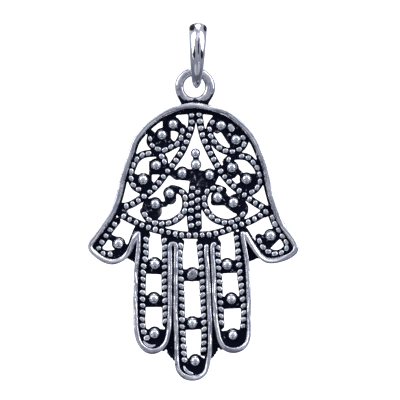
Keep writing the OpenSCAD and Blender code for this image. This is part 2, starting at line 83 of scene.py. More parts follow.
# in degrees, and the spread in radians
ROPE_SLANT, ROPE_SLANT_SPREAD = 28, 0.12
ROPE_W, ROPE_T, ROPE_CORE_R, ROPE_CORE_RISE = 0.44, 0.28, 0.14, 0.06
TAIL_R, TAIL_RISE = 0.20, 0.08
# how square a grain is, as a power; lumps and spread of size as shares of the size
PEARL_SQUARE, PEARL_LUMPS, BALL_LUMPS = 2.5, 0.05, 0.012
GRAIN_SIZE_SPREAD, GRAIN_PLACE_SPREAD = 0.04, 0.012
# rubbed tops: where they begin, as a share of the height, and how much is kept above that
GRAIN_TOP, GRAIN_KEEP, BALL_TOP, BALL_KEEP = (0.82, 0.97), 0.3, (0.93, 0.99), 0.35
# the worn ball, in shares of its diameter, and its turn in degrees
WORN_SHAPE, WORN_TOP, WORN_KEEP, WORN_TILT, WORN_TURN = (0.58, 0.47, 0.5), 0.36, 0.12, 0.10, 38
# how far a grain may sink into a ball
BEAD_LAP, ROPE_LAP = 0.06, 0.12
# how square the ring's section is, as a power; its waves, and the share of them in the hole
RING_SQUARE, RING_HAMMER, HOLE_HAMMER = 2.6, 0.02, 0.3
# the waves fade out over these angles, in radians
RING_FADE_LOW, RING_FADE_TOP = 0.5, 0.7
SOLDER_LUMPS, SOLDER_STEP, SOLDER_WEAR = 0.03, 0.07, 0.2
BAIL_DENT = 0.006
# which of the palm's and thumbs' wires are scrolls
SCROLLS = (3, 4, 5, 6, 7, 8, 12)

# How finely it is worked out: steps and reaches in mm, nets in rows and columns

SPAN_POINTS = 24
RIM_STEP, FINGER_RIM_STEP, WIRE_STEP, BEAD_STEP = 0.11, 0.09, 0.1, 0.02
ROPE_CORE_STEP, ROPE_CORE_COLS, TAIL_STEP, TAIL_COLS = 0.12, 8, 0.05, 10
PEARL_NET, BALL_NET, RING_NET, BAIL_ROWS = (10, 16), (20, 32), (120, 32), 144
CELL, GROUND_EVERY = 0.05, 2
REACH, BALL_REACH, PATCH_REACH, FAR, OUTSIDE, NO_METAL = 0.9, 1.5, 1.6, 9.0, 0.3, -3.0
SKY_ANGLES, SKY_STEPS = 12, (0.1, 0.16, 0.24, 0.36, 0.52, 0.75, 1.1)
SKY_ABOVE, SKY_LEAST, STAND_OFF, STAND_UP = 0.75, 0.02, 0.05, 0.03

# Silver: colours, noise in waves per metre, streaks per mm along and across, depths in mm

WHITE, PALE, COOL = (1.0, 1.0, 1.0), (0.90, 0.92, 0.96), (0.96, 0.97, 1.0)
LAVENDER, OXIDE = (0.69, 0.72, 0.80), (0.010, 0.012, 0.028)
PATCH_SCALE, CLOUD_SCALE, SPOT_SCALE, FINE_SCALE, DENT_SCALE = 900.0, 1500.0, 3300.0, 5200.0, 1300.0
STREAK_SCALE, SCRATCH_SCALE = (0.35, 5.0, 5.0), (0.7, 13.0, 9.0)
PATCH_SHARE, FINE_SHARE, BLACK_DULLNESS = 0.5, 0.16, 0.32
DENT_DEPTH, GRAIN_DEPTH = 0.06, 0.012

# Stage in metres

CENTRE, CAMERA_Y = (0.0002, 0.0, -0.01695), -0.40
FLOOR_HALF, FLOOR_Z, SHELL_R, SHELL_NET = 0.16, -0.0405, 1.2, (16, 32)


# The hand's sheet: tables count right and down in the photo's pixels, the sheet is in mm
def palm(t):
    return [(x * PALM_W / SHEET_W, -y * PALM_H / SHEET_H) for x, y in t]


def tip(t, length, sheet):
    return [(x * PALM_W / SHEET_W, -PALM_H - (y - SHEET_H) * length / sheet) for x, y in t]


def outer(t):
    return tip(t, FINGER_L, SHEET_FINGER)


def middle(t):
    return tip(t, MIDDLE_L, SHEET_MIDDLE)


# Tables, as in the CAD source

# middles of the rims
RIM_PALM = palm([
  [-57, 128.5], [-60, 136], [-63.2, 144.5], [-67.5, 151.5], [-74, 156.8], [-82, 159.5],
  [-90, 157.8], [-98, 152.6], [-104, 146], [-103.8, 140.5], [-100.5, 136], [-90.9, 124],
  [-82.7, 111.4], [-77.8, 99], [-74.5, 86.8], [-71.6, 74.6], [-67.9, 63], [-63.9, 51],
  [-60, 39.3], [-54.1, 31.1], [-45.8, 22.4], [-34.1, 13.9], [-17, 6], [0, 3.3],
  [22.4, 7.9], [34.8, 13.7], [46.3, 22.3], [53.7, 31], [59.7, 39.6], [64.8, 51.1],
  [68.7, 62.9], [71.6, 74.7], [74.1, 86.8], [77.3, 98.9], [81.4, 111.4], [88, 123.8],
  [95.9, 135.9], [100.3, 143.5], [100, 148.5], [95.7, 152.8], [88, 156.2], [79, 158.3],
  [71, 157.5], [64, 152], [58, 144], [53, 136], [49, 129.5]
])

RIM_LEFT = outer([
  [-56.8, 128.5], [-56.4, 143], [-58.6, 166], [-59.4, 188], [-59.3, 216], [-58.5, 229],
  [-55.5, 240], [-50, 247], [-42.7, 249.6], [-35, 247], [-29.4, 240.4], [-26.4, 229],
  [-25.1, 216], [-25.1, 188], [-25.1, 162], [-25.1, 144.4]
])

RIM_MIDDLE = middle([
  [-18.9, 144.4], [-18.9, 162], [-19, 177], [-19.2, 208], [-18.9, 230], [-18.2, 248],
  [-18, 260], [-16.6, 268], [-11, 274.3], [-3.3, 276.2], [4, 275], [9.5, 270.5],
  [12.3, 263], [14.3, 253], [15.3, 243], [15.4, 232], [14.4, 210], [13, 177],
  [11.4, 150], [11.2, 141.5]
])

RIM_RIGHT = outer([
  [21.5, 140.6], [17.8, 143], [17.6, 150], [18.9, 177], [19.9, 206], [20.6, 216],
  [22.3, 226.7], [24.7, 238.2], [29.2, 245.5], [36.7, 248.6], [44.5, 247.4], [50.2, 242.8],
  [53.2, 235], [53.9, 226], [53.9, 206], [53.1, 177], [52, 161], [49.6, 144.7],
  [47.7, 133.8], [48, 128.5]
])

# middles of the beaded wires
WIRES_PALM = [
  palm([
    [-3.2, 9.3], [-3.2, 20], [-4.3, 27], [-7, 34.7], [-12.4, 48], [-20.8, 60.6], [-29.5, 71.7],
    [-39.4, 84.3], [-51.7, 94.7], [-64.7, 102.7], [-72.5, 104.5]
  ]),
  palm([
    [3.7, 9.3], [4.7, 18], [7.9, 33.6], [13.7, 47.3], [19.8, 59.1], [25, 67.7], [34.5, 80],
    [46, 90], [57, 98.5], [69, 106]
  ]),
  palm([
    [-74, 112], [-67.4, 116], [-54.7, 122.1], [-42.4, 126.6], [-28.2, 130], [-12, 132.7],
    [2, 133], [15, 132.2], [28.7, 128.9], [42.5, 123.5], [56, 118.5], [68, 111.5], [73.5, 107]
  ]),
  palm([[-12.4, 25.5], [-13, 32.5], [-16.8, 40.4], [-23, 44], [-31, 47.8], [-39.2, 45.6],
    [-44.7, 40.5], [-44, 33]]),
  palm([[19.5, 17.5], [15.5, 23.5], [14.8, 31.5], [18, 38], [22.5, 44], [28.6, 47.9],
    [35, 49.5], [40.5, 48.5], [46.8, 45], [49.8, 38.9], [46, 32.5]]),
  palm([[-30.8, 63], [-31, 56.8], [-37.5, 51.4], [-45.5, 51.3], [-52.1, 52.6], [-58.4, 57.2],
    [-62, 64], [-64.1, 70.9], [-63.5, 78.2], [-60, 84.6], [-53.5, 88.5]]),
  palm([[31.1, 59.5], [36.5, 55], [43, 53.8], [52.5, 55.2], [57.9, 59.8], [62.1, 65.2],
    [64.8, 72.5], [64.8, 80.1], [60.5, 87], [53.5, 91]]),
  palm([[-23, 86.3], [-17, 87.8], [-12, 91], [-9.5, 97], [-9.5, 104.4], [-12.1, 111.3],
    [-17.9, 116.7], [-25.5, 120.5], [-32.4, 121.2], [-41.6, 120], [-47.7, 115.5], [-51.5, 109]]),
  palm([[28, 88], [21.5, 85.8], [15.8, 86.2], [11.5, 90], [8.9, 98], [10.2, 105], [15, 113],
    [21.4, 117.8], [30.6, 120.3], [39, 118.9], [45, 115.3], [49.5, 109]]),
  palm([[-2, 82], [-3.3, 94.1], [-3.3, 101.7], [-4.1, 109.8], [-4.5, 117], [-3.3, 127]]),
  palm([[2.9, 86], [2.7, 91], [2.7, 98.7], [2.7, 105.9], [2.9, 113.6], [3.4, 125]])
]

WIRES_THUMB = [
  palm([[-78.1, 119], [-83.4, 125.6], [-88, 132.1], [-92.2, 138.9], [-96.5, 145],
    [-94.5, 149.5], [-88.5, 152], [-81, 151.5]]),
  palm([[76.5, 112], [78.4, 117.7], [81.5, 124.6], [86, 131.9], [90.6, 138.4], [92.5, 144.5],
    [86, 150.6], [79, 151.4], [70.7, 147.6], [66, 142], [64, 135]])
]

WIRES_FINGER = [
  outer([[-48.7, 134], [-49.3, 143], [-49, 150], [-49.8, 156.6], [-51.2, 163.7], [-51.9, 179],
    [-52.4, 194.5], [-52.3, 210], [-52.6, 217], [-52, 224.7], [-50, 233], [-46, 238]]),
  outer([[-31.4, 135], [-30.3, 143.6], [-30, 150.6], [-30.4, 160], [-30.7, 174], [-30.5, 190],
    [-30, 206], [-29.7, 222]]),
  middle([[-13.5, 140], [-14.6, 147.4], [-15.4, 155], [-15.1, 162.6], [-14.3, 172],
    [-13.7, 188], [-13, 206.5], [-13, 222], [-12.2, 232], [-11.5, 245.3], [-10, 261]]),
  middle([[4.4, 141], [4.9, 148], [6.5, 162], [7.1, 173], [7.6, 190], [8.6, 207],
    [8.8, 222], [9.1, 235], [8.2, 251]]),
  outer([[23.3, 142], [22.7, 148], [23, 156], [23.8, 166], [24.5, 182], [25, 192], [26, 206],
    [26.5, 224]]),
  outer([[41.2, 132], [42.4, 141], [43.2, 154], [45.2, 174], [46.8, 190], [48.7, 206],
    [48.9, 217], [47.6, 227.3]])
]

# balls: x, y, share of BALL_D, share of SEAT_W
BALLS_PALM = [
  [-22, 21.9, 1, 1], [-33, 32.5, 1, 1], [26, 23, 1, 1], [41, 37.5, 1, 1],
  [-38.8, 63, 1, 1], [-51.8, 77.5, 1, 1], [36.8, 65.4, 1, 1], [51.5, 77, 1, 1],
  [-25.2, 91, 0.96, 1], [-39.8, 101.7, 1, 1], [22.7, 95.1, 1, 1], [38.5, 100.2, 1.04, 1],
  [0.5, 51, 0.86, 0.2], [1, 62.3, 1, 0.2], [-12.8, 71, 1, 1], [14.5, 72.8, 0.96, 1],
  [-76.4, 141.3, 1.06, 0.8], [75.7, 133.4, 1.06, 0.8]
]

BALLS_OUTER = [
  [-40.2, 161.8, 1.04, 1], [-41.1, 196.4, 1, 1], [-40.4, 231.2, 1, 1],
  [32.2, 162.5, 1, 1], [36.3, 196.9, 1, 1], [37.9, 232.8, 1, 1]
]

BALLS_MIDDLE = [[-2.6, 172, 1.06, 1], [-2.6, 220.7, 1, 1], [0.3, 258.7, 1, 1]]

# patches of ground: x and y of one end, of the other, and the width
PATCHES_PALM = [
  [-22, 23, -14, 27, 9], [-24, 12, -24, 22, 10], [-19, 18.7, -13, 26.7, 7],
  [-18, 10.5, -6, 9.5, 5], [8, 9.5, 20, 11, 5], [21, 13, 22, 18, 6], [19, 25, 22, 28, 7],
  [30, 18.5, 39, 30, 11], [-36, 37, -28, 42, 14], [-29.5, 16.5, -29.5, 26, 6],
  [-27.5, 30, -27.5, 37, 7], [-44, 30, -42, 32, 5], [24, 16, 22, 18, 6], [30, 27, 37, 38, 10],
  [44, 27, 48, 34, 11], [39, 44, 46, 40, 9], [-36, 62, -29, 68, 11], [-42, 70, -34, 70, 5],
  [-44.6, 60, -44.6, 84, 3], [-55, 84, -46, 84, 12], [-60, 76, -52, 84, 9], [22, 70, 18, 78.5, 7],
  [32, 66, 37, 71, 11], [40, 66, 48, 74, 5], [52, 84, 46, 86, 12], [58, 76, 56, 86, 10],
  [-25, 92, -24.5, 96.5, 12], [-44, 105, -42, 109, 18], [-34, 102.5, -30, 102, 6],
  [24, 92, 28, 97, 13], [41, 99, 46, 106, 15], [19, 100, 24, 100, 7], [31, 96.5, 34, 98, 5],
  [33, 103, 40, 108, 6], [-13, 72, 15, 75, 12], [-22, 71, -18, 74, 8], [1, 52, 1, 66, 6],
  [1, 78, 3, 86, 13], [12, 80, 16, 78, 8], [-1, 124, -1, 131, 6], [-72, 148, -68, 150, 14],
  [-86, 134.5, -80, 137, 6], [-78, 151, -86, 151.5, 6], [69, 137.5, 74, 136, 10],
  [73, 144, 82, 135, 6.5], [67, 140, 73, 139.5, 8], [-76, 152, -86, 156, 6],
  [-79, 108, -70, 110, 7], [76, 106, 70, 112, 7], [64, 142, 70, 150, 8], [-62, 150, -64, 158, 8],
  [58, 150, 60, 158, 8], [-28, 137, -18, 138, 7], [6, 137, 20, 136, 7], [-51, 129, -48, 133, 7],
  [-4, 9, 4, 9, 7], [9, 83, 13, 86, 7], [5.5, 88, 7, 93, 4], [-101, 141, -96, 146, 6],
  [98, 144, 93, 149, 6], [4, 141, 22, 140, 6], [-29, 140, -17, 141, 6]
]

PATCHES_OUTER = [
  [-52, 165, -30, 166, 13], [-53, 199, -31, 199, 12], [-48, 234, -33, 234, 14],
  [24, 165, 46, 164, 13], [26, 201, 47, 200, 12], [30, 236, 43, 235, 15], [-22, 148, -22, 225, 5],
  [-22, 225, -22, 250, 12], [15, 145, 17.5, 210, 5], [18, 215, 18, 250, 10],
  [-53.2, 130, -54.4, 214, 5], [46, 144, 49.4, 190, 4], [49.5, 226, 48.5, 234, 4],
  [53.5, 145, 55, 150, 4], [33, 241, 44, 240.5, 8], [-49, 240, -35, 240.5, 8],
  [-47, 244, -38, 244, 8]
]

PATCHES_MIDDLE = [
  [-13, 173, 7, 173, 12], [-13, 222, 8, 221, 12], [-5, 264, 4, 262, 15],
  [-14.5, 250, -13, 262, 5], [-10, 267, 4, 267, 11]
]

# no ground lies outside this line
EDGE_GROUND = (
    RIM_PALM[5:-5] + palm([[63, 156]])
    + outer([[54, 160], [54, 166]]) + RIM_RIGHT[15:8:-1] + outer([[29.2, 247], [22, 250]])
    + middle([[17.8, 256], [14.3, 256]]) + RIM_MIDDLE[12:6:-1]
    + middle([[-19, 260], [-23.5, 257.5]])
    + outer([[-27, 252], [-35, 248]]) + RIM_LEFT[8:1:-1] + outer([[-61, 160]])
    + palm([[-68, 156]])
)


# Paths
def blend(a, b, ta, tb, t):
    """From a at ta to b at tb in a straight line, at the values t."""
    return (tb - t) / (tb - ta) * a + (t - ta) / (tb - ta) * b


def smooth(points, step, closed=False):
    """Evenly spaced points along a centripetal Catmull-Rom curve, unit directions, length."""
    p = np.array(points, float)
    if closed:
        p = np.vstack([p[-1], p, p[0], p[1]])
    else:
        p = np.vstack([2 * p[0] - p[1], p, 2 * p[-1] - p[-2]])
    spans = []
    for a, b, c, d in zip(p, p[1:], p[2:], p[3:]):
        t0 = 0.0
        t1 = t0 + math.sqrt(np.linalg.norm(b - a))
        t2 = t1 + math.sqrt(np.linalg.norm(c - b))
        t3 = t2 + math.sqrt(np.linalg.norm(d - c))
        t = np.linspace(t1, t2, SPAN_POINTS, endpoint=False)[:, None]
        a1, a2, a3 = blend(a, b, t0, t1, t), blend(b, c, t1, t2, t), blend(c, d, t2, t3, t)
        b1, b2 = blend(a1, a2, t0, t2, t), blend(a2, a3, t1, t3, t)
        spans.append(blend(b1, b2, t1, t2, t))
    q = np.vstack(spans + [p[-2][None]])
    s = np.concatenate([[0], np.cumsum(np.linalg.norm(np.diff(q, axis=0), axis=1))])
    at = np.linspace(0, s[-1], max(2, int(round(s[-1] / step))) + 1)
    r = np.column_stack([np.interp(at, s, q[:, k]) for k in range(2)])
    if closed:
        r = r[:-1]
        d = np.roll(r, -1, axis=0) - np.roll(r, 1, axis=0)
    else:
        d = np.gradient(r, axis=0)
    return r, d / np.linalg.norm(d, axis=1)[:, None], s[-1]


def wobble(n, scale, seed):
    """Slow random change along n steps, about 0."""
    r = np.random.default_rng(seed)
    k = max(4, n // scale)
    return np.interp(np.linspace(0, k - 1, n), np.arange(k), r.normal(0, 1, k))


# Meshes
def new_mesh(name, points, faces, material):
    mesh = bpy.data.meshes.new(name)
    mesh.from_pydata(points, [], faces)
    mesh.materials.append(material)
    return mesh


def new_object(name, data):
    """An object of the scene with this mesh, light or camera."""
    obj = bpy.data.objects.new(name, data)
    bpy.context.scene.collection.objects.link(obj)
    return obj


def hand_to_world(v):
    """Hand sheet (right, up, height over the back) to the world's axes, in mm."""
    v = np.asarray(v, float)
    return np.column_stack([v[:, 0] + HAND_SHIFT, BACK_Y - v[:, 2], v[:, 1] + ARCH_Z])


def make(name, points, faces, material, body, wear_and_painted_light, flow=None, sharp=None):
    """A piece from points in mm. Its wear, with any painted shade and painted highlights, and its
    flow are read by the silver materials.
    """
    mesh = new_mesh(name, (np.asarray(points) * MM).tolist(), faces, material)
    mesh.validate()
    mesh.polygons.foreach_set("use_smooth", [True] * len(mesh.polygons))
    if sharp:
        mesh.set_sharp_from_angle(angle=math.radians(sharp))
    layer = mesh.attributes.new("wear_and_painted_light", "FLOAT", "POINT")
    layer.data.foreach_set("value", np.asarray(wear_and_painted_light, np.float32))
    if flow is not None:
        layer = mesh.attributes.new("flow", "FLOAT_VECTOR", "POINT")
        layer.data.foreach_set("vector", np.asarray(flow, np.float32).ravel())
    mesh.update()
    obj = new_object(name, mesh)
    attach(obj, body)
    return obj


def grid_faces(rows, cols, close_rows=False):
    """Quads of a rows x cols net of points that closes round its columns."""
    faces = []
    for i in range(rows if close_rows else rows - 1):
        a, b = i * cols, ((i + 1) % rows) * cols
        for k in range(cols):
            m = (k + 1) % cols
            faces.append((a + k, a + m, b + m, b + k))
    return faces


def tube_faces(rows, cols):
    """The net of a tube's side with a cap at each end."""
    last = (rows - 1) * cols
    return grid_faces(rows, cols) + [tuple(reversed(range(cols))), tuple(range(last, last + cols))]


def flipped(faces):
    """The same faces seen from their other side."""
    return [tuple(reversed(face)) for face in faces]


def join(parts):
    """Several (points, faces) as one."""
    v, f, base = [], [], 0
    for part_v, part_f in parts:
        v.append(part_v)
        f += [tuple(i + base for i in face) for face in part_f]
        base += len(part_v)
    return np.vstack(v), f


def turned(v, c, s):
    """Points turned in the sheet by the angle with this cosine and sine."""
    return v @ np.array([[c, s, 0], [-s, c, 0], [0, 0, 1]])


def pressed(v, top, keep):
    """Points above top pressed down, so that only a share of their height over it is kept."""
    v[:, 2] = np.where(v[:, 2] > top, top + (v[:, 2] - top) * keep, v[:, 2])
    return v


def ball_net(rings, cols):
    """Unit ball with its poles up and down: points and faces."""
    v = [(0, 0, -1.0)]
    for i in range(1, rings):
        a = -math.pi / 2 + math.pi * i / rings
        for k in range(cols):
            b = 2 * math.pi * k / cols
            v.append((math.cos(a) * math.cos(b), math.cos(a) * math.sin(b), math.sin(a)))
    v.append((0, 0, 1.0))
    f = [(0, 1 + (k + 1) % cols, 1 + k) for k in range(cols)]
    for i in range(rings - 2):
        a = 1 + i * cols
        b = a + cols
        f += [(a + k, a + (k + 1) % cols, b + (k + 1) % cols, b + k) for k in range(cols)]
    a = 1 + (rings - 2) * cols
    f += [(a + k, a + (k + 1) % cols, len(v) - 1) for k in range(cols)]
    return np.array(v), f


# Maps of the front: a net of small cells over the hand's sheet
X0, X1, Y0, Y1 = -11.4, 11.4, -28.6, 0.8
NX, NY = int((X1 - X0) / CELL) + 1, int((Y1 - Y0) / CELL) + 1
GX = X0 + CELL * np.arange(NX)
GY = Y0 + CELL * np.arange(NY)


def window(lo, hi, pad):
    """The cells within pad of a box."""
    i0 = max(0, int((lo[0] - pad - X0) / CELL))
    i1 = min(NX, int((hi[0] + pad - X0) / CELL) + 2)
    j0 = max(0, int((lo[1] - pad - Y0) / CELL))
    j1 = min(NY, int((hi[1] + pad - Y0) / CELL) + 2)
    return slice(j0, j1), slice(i0, i1)


def path_distance(points, reach):
    """Distance from each cell to a polyline, far wherever it is beyond reach."""
    d = np.full((NY, NX), FAR)
    p = np.asarray(points, float)
    for a, b in zip(p[:-1], p[1:]):
        w = window(np.minimum(a, b), np.maximum(a, b), reach)
        x, y = np.meshgrid(GX[w[1]], GY[w[0]])
        ab = b - a
        t = np.clip(((x - a[0]) * ab[0] + (y - a[1]) * ab[1]) / max(ab @ ab, 1e-9), 0, 1)
        e = np.hypot(x - a[0] - t * ab[0], y - a[1] - t * ab[1])
        d[w] = np.minimum(d[w], e)
    return d


def soft_min(a, b, k):
    """The smaller of two, with a fillet of size k where they meet."""
    h = np.clip(0.5 + 0.5 * (b - a) / k, 0, 1)
    return b + (a - b) * h - k * h * (1 - h)


def inside_polygon(poly):
    """Which cells lie inside a closed outline."""
    x, y = np.meshgrid(GX, GY)
    inside = np.zeros(x.shape, bool)
    p = np.asarray(poly, float)
    for (ax, ay), (bx, by) in zip(p, np.roll(p, -1, axis=0)):
        if ay == by:
            continue
        cross = (ay > y) != (by > y)
        inside ^= cross & (x < (bx - ax) * (y - ay) / (by - ay) + ax)
    return inside


def u_turn(start, end):
    """Points of the half round that joins two neighbouring fingers' rims."""
    start, end = np.array(start), np.array(end)
    centre, radius = (start + end) / 2, np.linalg.norm(end - start) / 2
    angles = [math.radians(a) for a in (-60, -30, 0, 30, 60)]
    return [tuple(centre + np.array([math.sin(a), math.cos(a)]) * radius) for a in angles]


finger_rim = RIM_LEFT + u_turn(RIM_LEFT[-1], RIM_MIDDLE[0]) + RIM_MIDDLE
RIM_PATHS = {
    "outer": (smooth(RIM_PALM, RIM_STEP), RIM_W),
    "fingers": (smooth(finger_rim, FINGER_RIM_STEP), FINGER_RIM_W),
    "right": (smooth(RIM_RIGHT, FINGER_RIM_STEP), FINGER_RIM_W),
}

# balls: place, diameter, width of the ground round it; patches: both ends, width
balls, patches = [], []
for to_sheet, ball_table, patch_table in (
    (palm, BALLS_PALM, PATCHES_PALM),
    (outer, BALLS_OUTER, PATCHES_OUTER),
    (middle, BALLS_MIDDLE, PATCHES_MIDDLE),
):
    for x, y, size, seat in ball_table:
        balls.append((to_sheet([(x, y)])[0], size * BALL_D, seat * SEAT_W))
    for x1, y1, x2, y2, width in patch_table:
        patches.append((to_sheet([(x1, y1), (x2, y2)]), width * PALM_W / SHEET_W))

# signed distance to the edge of the pierced ground, below 0 inside it
region = np.full((NY, NX), FAR)
for (pts, _, _), w in RIM_PATHS.values():
    region = np.minimum(region, path_distance(pts, REACH) - w / 2 - LEDGE_W)
for wires, width in ((WIRES_PALM + WIRES_THUMB, GROUND_W), (WIRES_FINGER, FINGER_GROUND_W)):
    for wire in wires:
        near = path_distance(smooth(wire, WIRE_STEP)[0], REACH) - width / 2
        region = soft_min(region, near, WIRE_FILLET)
for place, size, seat in balls:
    near = path_distance([place, place], BALL_REACH) - size / 2 - seat
    region = soft_min(region, near, BALL_FILLET)
for ends, width in patches:
    near = path_distance(ends, PATCH_REACH) - width / 2
    region = soft_min(region, near, PATCH_FILLET)
region = np.where(inside_polygon(EDGE_GROUND), region, np.maximum(region, OUTSIDE))


# Beads
def bead_row(wire, pitch):
    """Evenly spaced places along a wire, with the wire's direction there."""
    pts, dirs, length = smooth(wire, BEAD_STEP)
    n = max(2, int(length / pitch))
    at = [int((k + 0.5) / n * (len(pts) - 1)) for k in range(n)]
    return [(pts[i], dirs[i]) for i in at]


def clear_of_balls(p, lap):
    """Whether a bead here sinks into no ball by more than lap."""
    return all(
        np.hypot(*(p - np.array(place))) > (size + BEAD_D) / 2 - lap for place, size, _ in balls
    )


# place, direction of the wire, whether it is a scroll
beads = []
for k, wire in enumerate(WIRES_PALM + WIRES_THUMB):
    for p, d in bead_row(wire, BEAD_D + BEAD_GAP):
        apart = all(np.hypot(*(p - q)) > BEAD_D for q, _, _ in beads)
        if apart and clear_of_balls(p, BEAD_LAP):
            beads.append((p, d, k in SCROLLS))

# Height of the front over the back, for hollows and grime
heights = np.where(region < 0, GROUND_T, NO_METAL)
for (pts, _, _), w in RIM_PATHS.values():
    e = path_distance(pts, REACH)
    crown = RIM_T - w * RIM_CROWN * (1 - np.sqrt(np.clip(1 - (2 * e / w) ** 2, 0, 1)))
    heights = np.where(e < w / 2, np.maximum(heights, crown), heights)
domes = [(p, BEAD_D / 2, GROUND_T + BEAD_RISE) for p, _, _ in beads]
domes += [(p, size / 2, GROUND_T + BALL_RISE) for p, size, _ in balls]
for (x, y), r, z in domes:
    w = window((x, y), (x, y), r)
    gx, gy = np.meshgrid(GX[w[1]], GY[w[0]])
    cap = r * r - (gx - x) ** 2 - (gy - y) ** 2
    dome = np.maximum(heights[w], z + np.sqrt(np.clip(cap, 0, None)))
    heights[w] = np.where(cap > 0, dome, heights[w])
for wire in WIRES_FINGER:
    e = path_distance(smooth(wire, WIRE_STEP)[0], REACH)
    heights = np.where(e < ROPE_W / 2, np.maximum(heights, GROUND_T + ROPE_T), heights)


def height_at(x, y):
    """Height of the cells nearest to these places."""
    i = np.clip(((x - X0) / CELL + 0.5).astype(int), 0, NX - 1)
    j = np.clip(((y - Y0) / CELL + 0.5).astype(int), 0, NY - 1)
    return heights[j, i]


def openness(v, normals):
    """How much sky each hand point sees over its neighbours, 0 in a crevice, 1 on top."""
    v, n = np.asarray(v, float), np.asarray(normals, float)
    total, weight = np.zeros(len(v)), np.zeros(len(v))
    for k in range(SKY_ANGLES):
        a = 2 * math.pi * k / SKY_ANGLES
        dx, dy = math.cos(a), math.sin(a)
        rise = np.zeros(len(v))
        for r in SKY_STEPS:
            x = v[:, 0] + n[:, 0] * STAND_OFF + dx * r
            y = v[:, 1] + n[:, 1] * STAND_OFF + dy * r
            rise = np.maximum(rise, (height_at(x, y) - v[:, 2] - n[:, 2] * STAND_UP) / r)
        sky = 1 - rise / np.sqrt(1 + rise**2)
        # sky counts by how far a point faces it, and a point that faces up sees it all round
        facing = n[:, 0] * dx + n[:, 1] * dy + SKY_ABOVE * np.abs(n[:, 2])
        w = np.clip(facing, SKY_LEAST, None)
        total += w * sky
        weight += w
    return total / weight


def vertex_normals(v, faces):
    """Unit normals at the points, from the diagonals of the faces that meet there."""
    v = np.asarray(v, float)
    n = np.zeros_like(v)
    by_size = {}
    for f in faces:
        by_size.setdefault(len(f), []).append(f)
    for f in by_size.values():
        f = np.array(f)
        a = np.cross(v[f[:, 2]] - v[f[:, 0]], v[f[:, -1]] - v[f[:, 1]])
        for k in range(f.shape[1]):
            np.add.at(n, f[:, k], a)
    return n / np.maximum(np.linalg.norm(n, axis=1), 1e-12)[:, None]


def hand_piece(name, v, faces, material, sharp=None, flow=None, marks_and_highlights=0.0, floor=0.0):
    """A piece of the casting, with its wear worked out from how hollow each point lies, less the
    marks given, whose negative depths are painted highlights.
    """
    wear_and_painted_light = np.clip(openness(v, vertex_normals(v, faces)) - marks_and_highlights, floor, 1)
    return make(name, hand_to_world(v), faces, material, "hand", wear_and_painted_light, flow, sharp)


# Materials
def nodes_of(name):
    """A material with one principled shader."""
    mat = bpy.data.materials.new(name)
    mat.use_nodes = True
    tree = mat.node_tree
    tree.nodes.clear()
    out = tree.nodes.new("ShaderNodeOutputMaterial")
    bsdf = tree.nodes.new("ShaderNodeBsdfPrincipled")
    tree.links.new(bsdf.outputs["BSDF"], out.inputs["Surface"])
    return mat, tree, bsdf


def put(tree, kind, inputs=None, **props):
    """A shader node with its inputs linked to sockets or set to values."""
    node = tree.nodes.new("ShaderNode" + kind)
    for key, value in props.items():
        setattr(node, key, value)
    for key, value in (inputs or {}).items():
        if isinstance(value, bpy.types.NodeSocket):
            tree.links.new(value, node.inputs[key])
        else:
            node.inputs[key].default_value = value
    return node


def calc(tree, operation, a, b):
    return put(tree, "Math", {0: a, 1: b}, operation=operation).outputs[0]


def spread(tree, value, low, high, shape="LINEAR"):
    """value carried from the range low to the range high."""
    ends = {"From Min": low[0], "From Max": low[1], "To Min": high[0], "To Max": high[1]}
    node = put(tree, "MapRange", {"Value": value, **ends}, interpolation_type=shape)
    return node.outputs["Result"]


def ramp(tree, fac, stops):
    """Colours along fac, from stops of (place, colour)."""
    node = put(tree, "ValToRGB", {"Fac": fac})
    band = node.color_ramp.elements
    while len(band) < len(stops):
        band.new(0.5)
    for stop, (at, colour) in zip(band, stops):
        stop.position = at
        stop.color = (*colour, 1)
    return node.outputs["Color"]


def noise(tree, vector, scale, detail, rough, distort=0.0):
    sockets = {"Vector": vector, "Scale": scale, "Detail": detail, "Roughness": rough}
    return put(tree, "TexNoise", {**sockets, "Distortion": distort}).outputs["Fac"]


def stretched(tree, vector, scale, shift=(0.0, 0.0, 0.0)):
    sockets = {"Vector": vector, "Location": shift, "Scale": scale}
    return put(tree, "Mapping", sockets).outputs["Vector"]


def bump(tree, height, strength, distance, normal=None):
    sockets = {"Strength": strength, "Distance": distance, "Height": height}
    if normal is not None:
        sockets["Normal"] = normal
    return put(tree, "Bump", sockets).outputs["Normal"]


